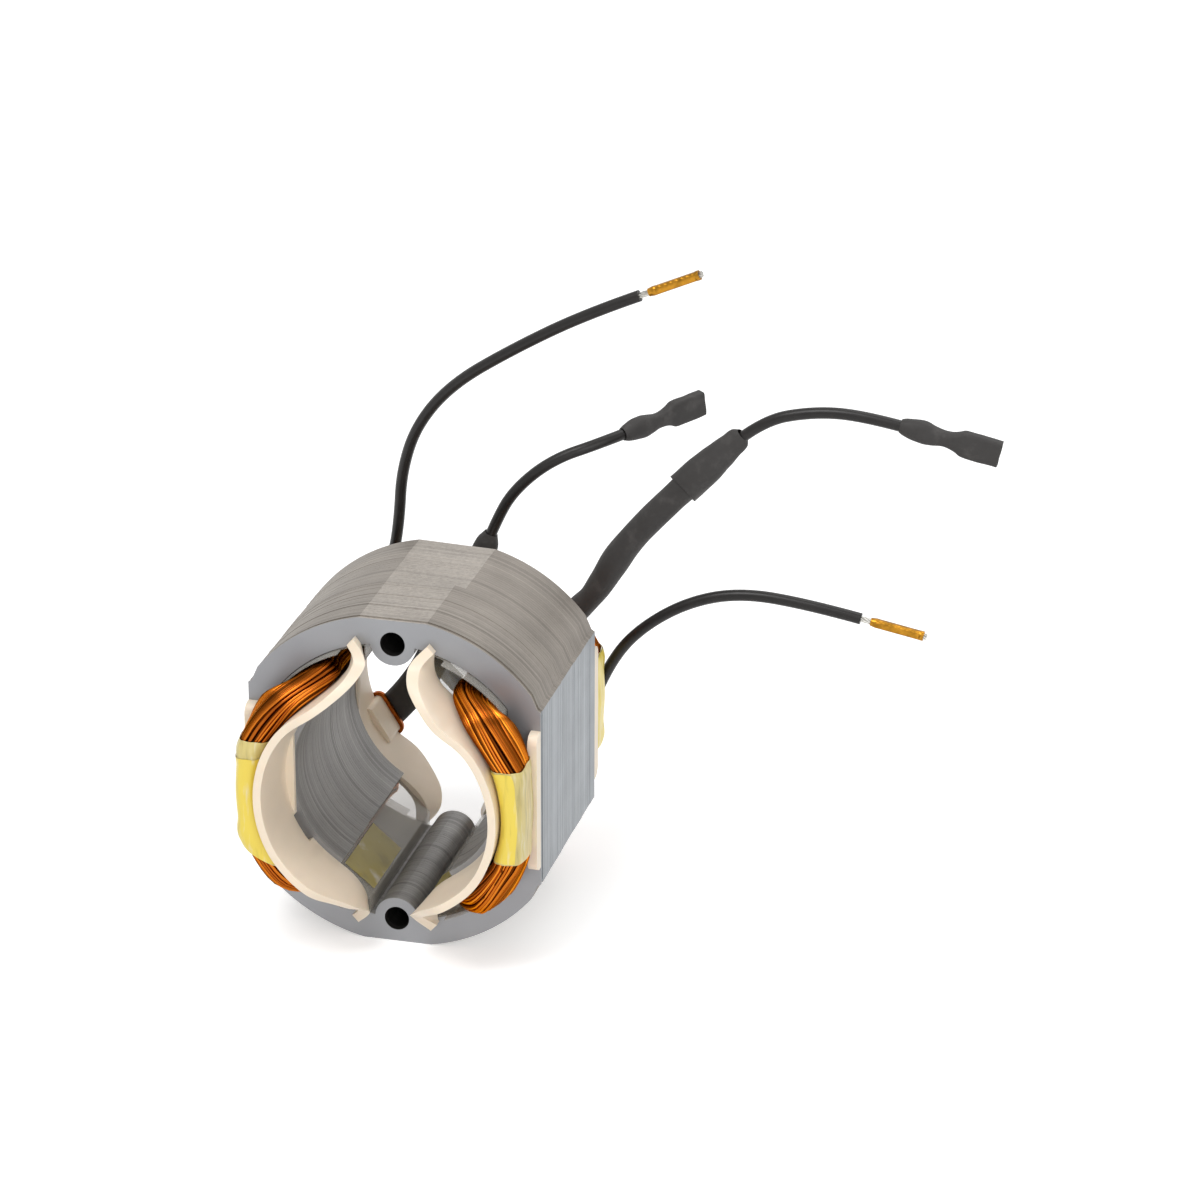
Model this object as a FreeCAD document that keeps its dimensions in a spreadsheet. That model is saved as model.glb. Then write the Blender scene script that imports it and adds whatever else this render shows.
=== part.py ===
import FreeCAD, Part

import math
import os

import Sketcher

from FreeCAD import Matrix, Placement, Rotation, Vector

# Wound field stator of a two-pole universal motor, in millimetres.
# The origin is the centre of the bore at half the stack's length. +Y runs along the bore to the
# lead end, +Z goes up through the two through-bolt holes and +X to the right-hand pole.

# Driving sizes, one row of the sheet each: alias, value, meaning
SIZES = [
    # Lamination stack
    ("stack_length", 49.5, "length of the lamination stack"),
    ("crown_cut", 0.8, "how far the top and bottom flats are cut into the round"),
    ("side_cut", 6.65, "how far the side flats are cut into the round"),
    ("side_flat_half_height", 21.9, "half the height of a side flat"),
    ("side_step", 0.8, "how far the side flat stands proud of the chamfer beside it"),
    ("side_step_rise", 0.5, "height of that step"),
    ("corner_cut", 9.0, "how far inside the yoke's radius the round ends at a corner"),
    ("yoke_thickness", 6.7, "thickness of the yoke outside the slots"),
    ("bore_radius", 25.0, "radius of the armature bore"),
    ("pole_half_angle", 58.7, "half the arc of a pole face, in degrees"),
    ("pole_tip_thickness", 1.9, "thickness of the pole tip"),
    ("slot_depth", 8.4, "depth of a slot between the pole tip and the yoke"),
    ("slot_root_inset", 7.8, "how far inside the slot's outer radius its deep end lies"),
    ("pole_neck_half_height", 13.5, "half the height of the pole's neck"),
    ("bolt_inset", 6.7, "how far inside the yoke's radius a bolt hole's centre lies"),
    ("bolt_hole_radius", 3.0, "radius of a through-bolt hole"),
    ("boss_radius", 5.35, "radius of the boss round a bolt hole"),
    # Slot liners and the tape patches on them
    ("liner_gap", 0.15, "clearance between a liner and its slot"),
    ("liner_thickness", 0.3, "thickness of the polyester film"),
    ("liner_projection", 3.0, "how far the film stands out of the stack along the yoke"),
    ("liner_boss_gap", 0.95, "distance of the film from the side of the boss"),
    ("liner_mouth_drop", 4.3, "how far the film's corner beside the boss lies below the slot's radius"),
    ("liner_edge_offset", 12.5, "distance from the centre at which the projecting edge starts"),
    ("liner_edge_height", 18.4, "height at which the projecting edge ends"),
    ("patch_thickness", 0.2, "thickness of a tape patch"),
    ("patch_margin", 0.85, "distance of a tape patch from the film's corners at the mouth"),
    ("wide_patch_tip_inset", 2.75, "distance of the wide patch from the end face, at the pole tip"),
    ("wide_patch_yoke_inset", 11.75, "the same distance at the yoke, since it lies askew"),
    ("wide_patch_length", 21.5, "length of the wide patch along the slot"),
    ("right_patch_tip_inset", 4.75, "distance of the lower right patch from the end face"),
    ("right_patch_yoke_inset", 7.75, "the same distance at the yoke"),
    ("right_patch_length", 7.5, "length of the lower right patch"),
    ("upper_patch_inset", 3.25, "distance of the upper patch from the end face"),
    ("upper_patch_length", 9.0, "length of the upper patch"),
    # Moulded end formers
    ("wall_thickness", 1.9, "thickness of the former's curved wall"),
    ("wall_height", 17.0, "height of the wall over the pole"),
    ("wall_foot_gap", 1.2, "distance of the wall's foot from the bore"),
    ("wall_rim_gap", 2.3, "distance of the wall's rim from the bore"),
    ("wall_tip_rim_gap", 1.4, "distance of the rim from the bore at the pole tips"),
    ("horn_height", 5.2, "height of the wall's rim at the horns beside the bosses"),
    ("horn_lean", 2.0, "how far the rim leans over the wall's foot there"),
    ("horn_overlap", 0.25, "how far the horn's rim lies over the side of the boss"),
    ("horn_drop", 3.7, "how far the horn lies below the bolt hole's centre"),
    ("notch_height", 2.2, "height of the notch in the wall's foot"),
    ("notch_width", 7.4, "width of that notch"),
    ("notch_depth", 1.3, "depth of that notch"),
    ("notch_angle", 31.0, "angle of the notch above the horizontal, in degrees"),
    ("floor_thickness", 1.3, "thickness of the former's floor"),
    ("floor_half_height", 12.6, "half the height of the floor"),
    ("tab_thickness", 2.3, "thickness of the outer tab"),
    ("tab_height", 3.5, "how far the outer tab stands up"),
    ("tab_half_height", 17.4, "half the length of the outer tab"),
    ("tab_corner", 2.5, "corner radius of the outer tab"),
    ("finger_root_width", 2.9, "width of the hooked finger where it leaves the wall"),
    ("finger_tip_width", 2.3, "width of the finger at its tip"),
    ("finger_height", 2.0, "height of the finger's tip on the yoke"),
    ("finger_angle", 42.0, "angle of the finger above the horizontal, in degrees"),
    ("finger_tip_side", 3.55, "distance of the finger's tip from the side of the boss"),
    ("finger_tip_rise", 1.2, "how far the finger's tip lies above the bolt hole's centre"),
    ("post_length", 10.4, "length of the anchor post along the wall"),
    ("post_width", 3.4, "width of the anchor post across the wall"),
    ("post_bore_gap", 0.3, "distance of the post's face from the bore"),
    ("post_height", 18.6, "height of the post's end above the stack"),
    ("post_foot_height", 9.0, "height at which the post leaves the wall"),
    ("post_angle", 31.8, "angle of the post below the horizontal, in degrees"),
    ("post_corner", 1.2, "corner radius of the post"),
    # Field coils and the tape wraps on them
    ("coil_wall_gap", 0.5, "distance of the end winding from the former's wall"),
    ("coil_slot_gap", 0.4, "distance of the winding from the slot liner"),
    ("coil_floor_gap", 0.7, "distance of the end winding from the former's floor"),
    ("coil_end_height", 14.4, "height of the end winding above the stack"),
    ("coil_overhang", 0.35, "how far the end winding bulges over the side flat"),
    ("coil_exit_height", 3.2, "height above the stack at which the bundle starts to bend"),
    ("coil_shoulder_height", 7.6, "height of the bundle's middle where it turns down"),
    ("coil_shoulder_drop", 3.1, "how far the bundle's middle lies there below its place in the slot"),
    ("coil_tab_gap", 0.3, "distance of the winding from the outer tab"),
    ("tape_thickness", 0.4, "thickness of a tape wrap"),
    ("tape_half_width", 12.5, "half the width of a tape wrap"),
    ("narrow_tape_reach", 10.4, "how far the narrower front wrap reaches below the pole's middle"),
    ("slanted_tape_reach", 17.0, "how far the slanted front wrap follows the winding"),
    ("slanted_tape_angle", 36.0, "angle of that wrap's slanted edge, in degrees"),
    ("tail_radius", 0.45, "radius of the turns of wire round a post"),
    # Leads and what is on them
    ("lead_radius", 1.4, "radius of a lead's insulation"),
    ("strand_radius", 0.75, "radius of the bare conductor"),
    ("strand_neck", 2.4, "bare conductor between the insulation and a ferrule"),
    ("strand_stub", 0.7, "bare conductor beyond a ferrule"),
    ("ferrule_length", 13.2, "length of a wire-end ferrule"),
    ("ferrule_radius", 1.2, "outer radius of a ferrule"),
    ("ferrule_bore_gap", 0.05, "clearance between a ferrule and the conductor in it"),
    ("shrink_wall", 0.45, "wall of the shrink tubing"),
    ("shrink_gap", 0.1, "clearance between shrink tubing and what it covers"),
    ("flat_sleeve_half_width", 4.2, "half the width of the flattened sleeve on lead B"),
    ("flat_sleeve_half_depth", 1.95, "half the depth of that sleeve"),
    ("round_sleeve_radius", 3.0, "outer radius of the inner sleeve on lead C"),
    ("outer_sleeve_mouth", 4.2, "radius of the outer sleeve's mouth on lead C"),
    ("outer_sleeve_neck", 2.3, "radius of the outer sleeve's far end"),
    ("outer_sleeve_before", 14.0, "length of the outer sleeve before the end of lead C"),
    ("outer_sleeve_after", 7.2, "length of the outer sleeve after the end of lead C"),
    ("outer_sleeve_overlap", 8.5, "how far the outer sleeve covers the inner one"),
    ("terminal_half_width", 3.2, "half the width of a sleeved receptacle"),
    ("terminal_half_depth", 1.6, "half the depth of a sleeved receptacle"),
    ("terminal_bulge", 2.6, "half the width of the sleeve over the crimp barrel"),
    ("terminal_waist", 2.0, "half the width of the sleeve between barrel and box"),
    ("terminal_length", 24.4, "length of a terminal sleeve"),
    ("terminal_cover", 5.6, "how far a lead runs into its terminal sleeve"),
    ("crimp_start", 3.2, "distance of the crimp barrel from the sleeve's start"),
    ("crimp_length", 3.8, "length of the crimp barrel on the insulation"),
    ("crimp_wall", 0.3, "wall of the crimp barrel"),
    ("receptacle_length", 8.2, "length of the receptacle's box"),
    ("receptacle_half_width", 2.4, "half the width of the receptacle's box"),
    ("receptacle_half_depth", 0.8, "half the depth of the receptacle's box"),
    ("receptacle_sheet", 0.35, "thickness of the receptacle's brass sheet"),
    ("receptacle_recess", 0.8, "how far the receptacle lies inside its sleeve"),
]

# Sizes that follow from the ones above
FOLLOWING_SIZES = [
    ("slot_radius", "=bore_radius + pole_tip_thickness + slot_depth",
     "radius of the slot's outer wall"),
    ("yoke_radius", "=slot_radius + yoke_thickness", "outer radius of the yoke"),
    ("crown_flat_offset", "=yoke_radius - crown_cut",
     "distance of the top and bottom flats from the centre"),
    ("side_flat_offset", "=yoke_radius - side_cut", "distance of the side flats from the centre"),
    ("corner_offset", "=yoke_radius - corner_cut",
     "distance from the centre at which the round of the yoke ends"),
    ("slot_root_offset", "=slot_radius - slot_root_inset",
     "distance of the slot's deep end from the centre"),
    ("bolt_offset", "=yoke_radius - bolt_inset", "distance of a bolt hole from the centre"),
    ("liner_mouth_height", "=slot_radius - liner_mouth_drop",
     "height of the film's corner beside the boss"),
    ("coil_side_reach", "=side_flat_offset + coil_overhang",
     "distance of the end winding's outside from the centre"),
]

# Routes of the leads and of the sleeves they come out of, chosen by hand: x, y, z
LEAD_A_ROUTE = [
    (-27.9, 41.1, 13.0),
    (-24.3, 40.7, 21.6),
    (-18.9, 38.4, 30.4),
    (-16.9, 37.0, 40.8),
    (-15.8, 36.0, 53.7),
    (-11.3, 34.0, 66.8),
    (-1.8, 32.0, 78.8),
    (13.7, 30.0, 89.7),
    (31.8, 29.0, 100.4),
    (44.9, 29.0, 106.2),
]
LEAD_B_ROUTE = [
    (1.5, 45.2, 29.6),
    (5.0, 45.2, 39.0),
    (9.8, 45.2, 48.0),
    (19.1, 46.5, 56.3),
    (30.5, 50.4, 60.3),
    (37.9, 59.6, 61.7),
]
LEAD_C_ROUTE = [
    (61.5, 45.0, 62.6),
    (70.1, 45.0, 71.6),
    (84.0, 45.0, 75.5),
    (97.0, 45.0, 75.3),
    (109.9, 45.0, 72.66),
]
LEAD_D_ROUTE = [
    (31.3, 41.1, -2.6),
    (34.4, 41.1, 5.6),
    (41.3, 41.1, 15.6),
    (53.6, 41.1, 24.6),
    (67.4, 41.1, 28.8),
    (84.6, 41.1, 27.4),
    (97.0, 41.1, 25.1),
]
SLEEVE_B_ROUTE = [
    (-21.0, 45.2, -13.0),
    (-15.0, 45.2, -6.3),
    (-9.0, 45.2, 6.0),
    (-2.2, 45.2, 19.7),
    (3.9, 45.2, 36.0),
]
SLEEVE_C_ROUTE = [
    (21.2, 47.0, 13.1),
    (29.6, 45.9, 21.6),
    (36.6, 45.0, 35.0),
    (46.2, 45.0, 46.6),
    (56.4, 45.0, 57.26),
]

# An arc of a lead takes this share of the shorter run beside it
BEND_SHARE = 0.45

# Points on the outline of a squarish oval, and how square a wire bundle's is
OVAL_POINTS = 12
OVAL_SQUARENESS = 3.0

doc = FreeCAD.newDocument("WoundStator")
sheet = doc.addObject("Spreadsheet::Sheet", "Sizes")
for row, (alias, value, meaning) in enumerate(SIZES + FOLLOWING_SIZES, start=1):
    sheet.set("A%d" % row, alias)
    sheet.set("B%d" % row, str(value))
    sheet.set("C%d" % row, meaning)
    sheet.setAlias("B%d" % row, alias)
doc.recompute()

NODES = []


def size(alias):
    """A driving size, read from the sheet."""
    return float(getattr(sheet, alias))


def add_node(label, obj):
    """Name a finished sub-part and keep it for the export."""
    obj.Label = label
    NODES.append(obj)
    return obj


def add_shape(label, shape, placement=None):
    """A sub-part whose shape comes from Part's own functions."""
    obj = doc.addObject("Part::Feature", label)
    obj.Shape = shape
    if placement:
        obj.Placement = placement
    return add_node(label, obj)


# The stator looks the same after half a turn about each of its axes
IN_PLACE = Placement()
ABOUT_BORE = Placement(Vector(0, 0, 0), Rotation(Vector(0, 1, 0), 180))
ABOUT_UPRIGHT = Placement(Vector(0, 0, 0), Rotation(Vector(0, 0, 1), 180))
ABOUT_CROSSWISE = Placement(Vector(0, 0, 0), Rotation(Vector(1, 0, 0), 180))


# Sketches: closed outlines of lines and arcs, each corner bound to the sheet

def new_sketch(body, name):
    """An empty sketch on the plane of the laminations."""
    sketch = body.newObject("Sketcher::SketchObject", name)
    plane = next(item for item in body.Origin.OriginFeatures if item.Role == "XZ_Plane")
    sketch.AttachmentSupport = [(plane, "")]
    sketch.MapMode = "FlatFace"
    doc.recompute()
    return sketch


def bind(sketch, expression, *constraint):
    """Add a sketch constraint whose value follows an expression."""
    value = sketch.evalExpression(expression)
    index = sketch.addConstraint(Sketcher.Constraint(*constraint, value))
    sketch.setExpression("Constraints[%d]" % index, expression)


def mirror_quarter(quarter, pieces, across_x, across_y):
    """The whole outline from the corners of its first quarter, listed from +Y round to +X.

    pieces tells how each corner goes on to the next, and across_x and across_y how the outline
    crosses the two axes. A piece is None for a line, or the radius and the height of the centre
    of an arc.
    """
    outline = []
    for sign_x, sign_y, forward in ((1, 1, True), (1, -1, False), (-1, -1, True), (-1, 1, False)):
        order = range(len(quarter)) if forward else reversed(range(len(quarter)))
        for index in order:
            if forward:
                piece = pieces[index] if index < len(pieces) else across_x
            else:
                piece = pieces[index - 1] if index > 0 else across_y
            x, y = quarter[index]
            outline.append(("%d * (%s)" % (sign_x, x), "%d * (%s)" % (sign_y, y), piece, sign_y))
    return outline


def draw_outline(sketch, outline):
    """Draw a closed outline and bind its corners and radii."""
    corners = [Vector(sketch.evalExpression(x), sketch.evalExpression(y), 0)
               for x, y, piece, sign in outline]
    ends = []
    for index, (x, y, piece, sign) in enumerate(outline):
        start = corners[index]
        end = corners[(index + 1) % len(corners)]
        if piece is None:
            sketch.addGeometry(Part.LineSegment(start, end), False)
            ends.append((1, 2))
            continue
        # The sketcher runs every arc anticlockwise, so a clockwise one is added end first
        radius, height = piece
        centre = Vector(0, sign * sketch.evalExpression(height), 0)
        outward = (start + end) * 0.5 - centre
        clockwise = (start - centre).cross(outward).z < 0
        first, last = (end, start) if clockwise else (start, end)
        circle = Part.Circle(centre, Vector(0, 0, 1), sketch.evalExpression(radius))
        angles = [math.atan2(point.y - centre.y, point.x - centre.x) for point in (first, last)]
        if angles[1] < angles[0]:
            angles[1] += 2 * math.pi
        sketch.addGeometry(Part.ArcOfCircle(circle, angles[0], angles[1]), False)
        ends.append((2, 1) if clockwise else (1, 2))
    for index in range(len(outline)):
        following = (index + 1) % len(outline)
        sketch.addConstraint(Sketcher.Constraint(
            "Coincident", index, ends[index][1], following, ends[following][0]))
    for index, (x, y, piece, sign) in enumerate(outline):
        bind(sketch, x, "DistanceX", -1, 1, index, ends[index][0])
        bind(sketch, y, "DistanceY", -1, 1, index, ends[index][0])
        if piece is not None:
            bind(sketch, piece[0], "Radius", index)


def cut_through(body, sketch, name):
    """Pocket a sketch through the whole stack."""
    pocket = body.newObject("PartDesign::Pocket", name)
    pocket.Profile = sketch
    pocket.SideType = "Symmetric"
    pocket.setExpression("Length", "Sizes.stack_length + 2")
    return pocket


def make_stack():
    """The laminations, pressed to one stack: a yoke with flats, two poles and two bolt bosses."""
    body = doc.addObject("PartDesign::Body", "LaminationStack")
    outline = new_sketch(body, "LaminationOutline")
    quarter = [
        ("sqrt(Sizes.yoke_radius^2 - Sizes.crown_flat_offset^2)", "Sizes.crown_flat_offset"),
        ("Sizes.corner_offset", "sqrt(Sizes.yoke_radius^2 - Sizes.corner_offset^2)"),
        ("Sizes.side_flat_offset - Sizes.side_step",
         "Sizes.side_flat_half_height + Sizes.side_step_rise"),
        ("Sizes.side_flat_offset", "Sizes.side_flat_half_height"),
    ]
    round_yoke = ("Sizes.yoke_radius", "0")
    draw_outline(outline, mirror_quarter(quarter, [round_yoke, None, None], None, None))
    pad = body.newObject("PartDesign::Pad", "StackPad")
    pad.Profile = outline
    pad.SideType = "Symmetric"
    pad.setExpression("Length", "Sizes.stack_length")

    # The window takes in the bore and the four slots, and leaves the poles and the round bosses
    window = new_sketch(body, "WindowOutline")
    flank = ("((Sizes.slot_radius^2 + Sizes.bolt_offset^2 - Sizes.boss_radius^2)"
             " / (2 * Sizes.bolt_offset))")
    tip = "(Sizes.bore_radius + Sizes.pole_tip_thickness)"
    quarter = [
        ("sqrt(Sizes.slot_radius^2 - %s^2)" % flank, flank),
        ("Sizes.slot_root_offset", "sqrt(Sizes.slot_radius^2 - Sizes.slot_root_offset^2)"),
        ("Sizes.slot_root_offset", "Sizes.pole_neck_half_height"),
        ("%s * cos(Sizes.pole_half_angle)" % tip, "%s * sin(Sizes.pole_half_angle)" % tip),
        ("Sizes.bore_radius * cos(Sizes.pole_half_angle)",
         "Sizes.bore_radius * sin(Sizes.pole_half_angle)"),
    ]
    slot_wall = ("Sizes.slot_radius", "0")
    pole_face = ("Sizes.bore_radius", "0")
    boss = ("Sizes.boss_radius", "Sizes.bolt_offset")
    pieces = [slot_wall, None, None, None]
    draw_outline(window, mirror_quarter(quarter, pieces, pole_face, boss))
    cut_through(body, window, "WindowPocket")

    holes = new_sketch(body, "BoltHoles")
    for index, sign in enumerate((1, -1)):
        centre = Vector(0, sign * size("bolt_offset"), 0)
        circle = Part.Circle(centre, Vector(0, 0, 1), size("bolt_hole_radius"))
        holes.addGeometry(circle, False)
        bind(holes, "0", "DistanceX", -1, 1, index, 3)
        bind(holes, "%d * Sizes.bolt_offset" % sign, "DistanceY", -1, 1, index, 3)
        bind(holes, "Sizes.bolt_hole_radius", "Radius", index)
    cut_through(body, holes, "BoltHolePocket")
    return add_node("lamination_stack", body)


# Places that several sub-parts share, in the first quarter: right-hand pole, upper slot

def polar(radius, degrees):
    """A point in the plane of the laminations."""
    turn = math.radians(degrees)
    return Vector(radius * math.cos(turn), 0, radius * math.sin(turn))


def end_face():
    """Distance of the stack's end faces from its middle."""
    return size("stack_length") / 2


def at_front(point, height):
    """A point at a height above the front end face."""
    return Vector(point.x, -end_face() - height, point.z)


def pole_tip_corner():
    """The pole tip's corner on the slot's side."""
    return polar(size("bore_radius") + size("pole_tip_thickness"), size("pole_half_angle"))


def slot_root_corner():
    """The slot's corner at the neck of the pole."""
    return Vector(size("slot_root_offset"), 0, size("pole_neck_half_height"))


def on_slot_wall(x):
    """The point of the slot's round outer wall at a distance x."""
    return Vector(x, 0, math.sqrt(size("slot_radius") ** 2 - x ** 2))


def film_mouth_corner():
    """Where the film turns beside the boss, off the straight line to the pole tip."""
    return Vector(size("boss_radius") + size("liner_boss_gap"), 0, size("liner_mouth_height"))


def flipped(vector):
    """A vector's mirror image below the middle of the pole."""
    return Vector(vector.x, vector.y, -vector.z)


def box(low, high):
    """A box between two corners."""
    return Part.makeBox(high.x - low.x, high.y - low.y, high.z - low.z, low)


# Slot liners

def slot_region():
    """The face that a liner fills, from the pole's neck to the boss."""
    tip = pole_tip_corner()
    root = slot_root_corner()
    top = on_slot_wall(size("slot_root_offset"))
    corner = film_mouth_corner()
    boss_side = on_slot_wall(corner.x)
    middle = polar(size("slot_radius"), math.degrees(math.atan2(top.z + boss_side.z,
                                                                top.x + boss_side.x)))
    edges = [
        Part.LineSegment(tip, root).toShape(),
        Part.LineSegment(root, top).toShape(),
        Part.Arc(top, middle, boss_side).toShape(),
        Part.LineSegment(boss_side, corner).toShape(),
        Part.LineSegment(corner, tip).toShape(),
    ]
    return Part.Face(Part.Wire(edges))


def liner_shape():
    """A closed tube of film in the upper right slot, longer along the yoke than at the mouth."""
    region = slot_region()
    outside = region.makeOffset2D(-size("liner_gap"))
    inside = region.makeOffset2D(-size("liner_gap") - size("liner_thickness"))
    film = outside.cut(inside)

    def along_slot(half_length):
        start = film.translated(Vector(0, -half_length, 0))
        return start.extrude(Vector(0, 2 * half_length, 0))

    reach = end_face() + size("liner_projection")
    yoke_side = box(
        Vector(size("liner_edge_offset"), -reach, size("liner_edge_height")),
        Vector(size("slot_radius"), reach, size("slot_radius")))
    midway = (size("bore_radius") + size("slot_radius")) / 2
    core = Part.makeCylinder(midway, 2 * reach, Vector(0, -reach, 0), Vector(0, 1, 0))
    projecting = along_slot(reach).common(yoke_side).cut(core)
    return along_slot(end_face()).fuse(projecting).removeSplitter()


def patch_shape(side, tip_inset, yoke_inset, length):
    """A strip of tape on the film across a slot's mouth on the right-hand side.

    side is 1 for the upper and -1 for the lower slot. The strip starts at tip_inset from the
    front end face at the pole tip, and at yoke_inset from it at the yoke.
    """
    tip = pole_tip_corner()
    along = film_mouth_corner() - tip
    margin = size("patch_margin")
    width = along.Length - 2 * margin
    along.normalize()
    towards_bore = Vector(along.z, 0, -along.x)
    if towards_bore.dot(tip) > 0:
        towards_bore = -towards_bore
    low = tip + along * margin - towards_bore * size("liner_gap")
    high = low + along * width
    if side < 0:
        low, high, towards_bore = flipped(low), flipped(high), flipped(towards_bore)
    rim = [
        low + Vector(0, tip_inset - end_face(), 0),
        low + Vector(0, tip_inset - end_face() + length, 0),
        high + Vector(0, yoke_inset - end_face() + length, 0),
        high + Vector(0, yoke_inset - end_face(), 0),
    ]
    face = Part.Face(Part.makePolygon(rim + rim[:1]))
    return face.extrude(towards_bore * size("patch_thickness"))


# End formers, modelled at the front end of the right-hand pole

def smooth_edge(points, marks):
    """One smooth edge through points at given values of its parameter."""
    curve = Part.BSplineCurve()
    curve.interpolate(Points=points, Parameters=marks)
    return curve.toShape()


def bend_point(start, corner, end, share):
    """A point on the bend from start to end that is tangent to both sides of the corner."""
    return (start * (1 - share) ** 2 + corner * (2 * share * (1 - share))
            + end * share ** 2)


def upright_corner(point, direction, x):
    """Where the line through a point in a direction meets the upright line at a distance x."""
    return point + direction * ((x - point.x) / direction.x)


def rim_gap(degrees):
    """Distance of the rim from the bore, closer to it at the pole tips."""
    start = size("pole_half_angle") * 0.6
    share = min(max((abs(degrees) - start) / (size("pole_half_angle") - start), 0), 1)
    return size("wall_rim_gap") + (size("wall_tip_rim_gap") - size("wall_rim_gap")) * share


def between(first, last, share):
    """A value on the way from the first to the last."""
    return first + (last - first) * share


def upper_wall_stations():
    """Stations of the wall from the middle of the pole up to the finger's tip.

    Each is four points, the foot and the rim on the bore side and the rim and the foot on the
    winding side, and the rim's height there.
    """
    bore = size("bore_radius")
    thickness = size("wall_thickness")
    arc_end = size("pole_half_angle") - 2.5
    stations = []
    for share in (0, 0.25, 0.5, 0.75, 1):
        degrees = arc_end * share
        foot = bore + size("wall_foot_gap")
        rim = bore + rim_gap(degrees)
        radii = (foot, rim, rim + thickness, foot + thickness)
        stations.append(([polar(radius, degrees) for radius in radii], size("wall_height")))
    arc_points = stations[-1][0]
    # Each line leaves its arc on a tangent and bends until it is upright beside the boss
    side = size("boss_radius") - size("horn_overlap")
    level = size("bolt_offset") - size("horn_drop")
    root = size("finger_root_width")
    lean = size("horn_lean")
    horn_points = [Vector(side + shift, 0, level) for shift in (lean, 0, root, lean + root)]
    tangent = polar(1, arc_end + 90)
    for share in (0.25, 0.5, 0.75, 1):
        points = [bend_point(start, upright_corner(start, tangent, end.x), end, share)
                  for start, end in zip(arc_points, horn_points)]
        stations.append((points, between(size("wall_height"), size("horn_height"), share)))
    # From there it hooks outwards, down on the yoke
    tip = Vector(size("boss_radius") + size("finger_tip_side"), 0,
                 size("bolt_offset") + size("finger_tip_rise"))
    pointing = polar(1, size("finger_angle"))
    outer_tip = tip + polar(size("finger_tip_width"), size("finger_angle") - 90)
    for share in (0.33, 0.67, 1):
        points = [bend_point(start, upright_corner(end, pointing, start.x), end, share)
                  for start, end in zip(horn_points, (tip, tip, outer_tip, outer_tip))]
        stations.append((points, between(size("horn_height"), size("finger_height"), share)))
    return stations


def former_wall():
    """The curved wall with its hooked ends: a closed skin between its foot and its rim."""
    upper = upper_wall_stations()
    lower = [([flipped(point) for point in points], height)
             for points, height in reversed(upper[1:])]
    stations = lower + upper
    marks = [0.0]
    for before, after in zip(stations, stations[1:]):
        marks.append(marks[-1] + (after[0][1] - before[0][1]).Length)
    loop = []
    for line, is_rim in enumerate((False, True, True, False)):
        loop.append(smooth_edge([at_front(points[line], height if is_rim else 0)
                                 for points, height in stations], marks))
    faces = [Part.makeRuledSurface(loop[place - 1], loop[place]) for place in range(4)]
    for last in (0, -1):
        ends = [edge.Vertexes[last].Point for edge in loop]
        first = Part.makeLine(ends[0], ends[1])
        second = Part.makeLine(ends[3], ends[2])
        faces.append(Part.makeRuledSurface(first, second))
    shell = Part.makeShell(faces)
    shell.sewShape()
    wall = Part.Solid(Part.makeShell(shell.Faces))
    if wall.Volume < 0:
        wall.reverse()
    return wall


def outer_tab():
    """The low tab that holds the winding at the side flat, with rounded ends."""
    outside = size("side_flat_offset")
    half = size("tab_half_height")
    tab = box(
        Vector(outside - size("tab_thickness"), -end_face() - size("tab_height"), -half),
        Vector(outside, -end_face(), half))
    ends = [edge for edge in tab.Edges
            if abs(edge.BoundBox.XLength - size("tab_thickness")) < 0.001
            and edge.BoundBox.YMax < -end_face() - 0.001]
    return tab.makeFillet(min(size("tab_corner"), size("tab_height") - 0.2), ends)


def turned_block(low, high, degrees):
    """A box laid out along +X and turned about the bore to an angle above the horizontal."""
    block = box(low, high)
    block.rotate(Vector(0, 0, 0), Vector(0, 1, 0), -degrees)
    return block


def former_shape():
    """Wall with its fingers, floor and outer tab of a former, moulded in one."""
    front = -end_face()
    bore = size("bore_radius")
    floor_start = bore + size("wall_foot_gap") + size("wall_thickness") / 2
    half = size("floor_half_height")
    floor = box(
        Vector(floor_start * math.cos(half / floor_start), front - size("floor_thickness"), -half),
        Vector(size("side_flat_offset"), front, half))
    notch_start = bore + size("wall_foot_gap") - size("notch_depth")
    notch = turned_block(
        Vector(notch_start, front - size("notch_height"), -size("notch_width") / 2),
        Vector(notch_start + 2 * size("notch_depth"), front, size("notch_width") / 2),
        size("notch_angle"))
    whole = former_wall().fuse([floor, outer_tab()])
    return whole.cut(notch).removeSplitter()


def post_block(grow, low_height, high_height):
    """A block with the post's outline, grown all round, between two heights."""
    front = -end_face()
    near = size("bore_radius") + size("post_bore_gap")
    half = size("post_length") / 2 + grow
    block = box(
        Vector(near - grow, front - high_height, -half),
        Vector(near + size("post_width") + grow, front - low_height, half))
    upright = [edge for edge in block.Edges
               if abs(edge.BoundBox.YLength - (high_height - low_height)) < 0.001]
    block = block.makeFillet(size("post_corner") + grow, upright)
    block.rotate(Vector(0, 0, 0), Vector(0, 1, 0), size("post_angle"))
    return block


def posted_former_shape():
    """The former of the lead end, with the post that anchors a splice."""
    post = post_block(0, size("post_foot_height"), size("post_height"))
    return former_shape().fuse(post).removeSplitter()


def post_turn_shape():
    """Magnet wire turned round the end of a post, above the wall's rim."""
    low = size("wall_height") + size("coil_tab_gap")
    high = low + 2 * size("tail_radius")
    play = size("ferrule_bore_gap")
    return post_block(play + 2 * size("tail_radius"), low, high).cut(post_block(play, low, high))


# Field coils, modelled round the right-hand pole

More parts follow.
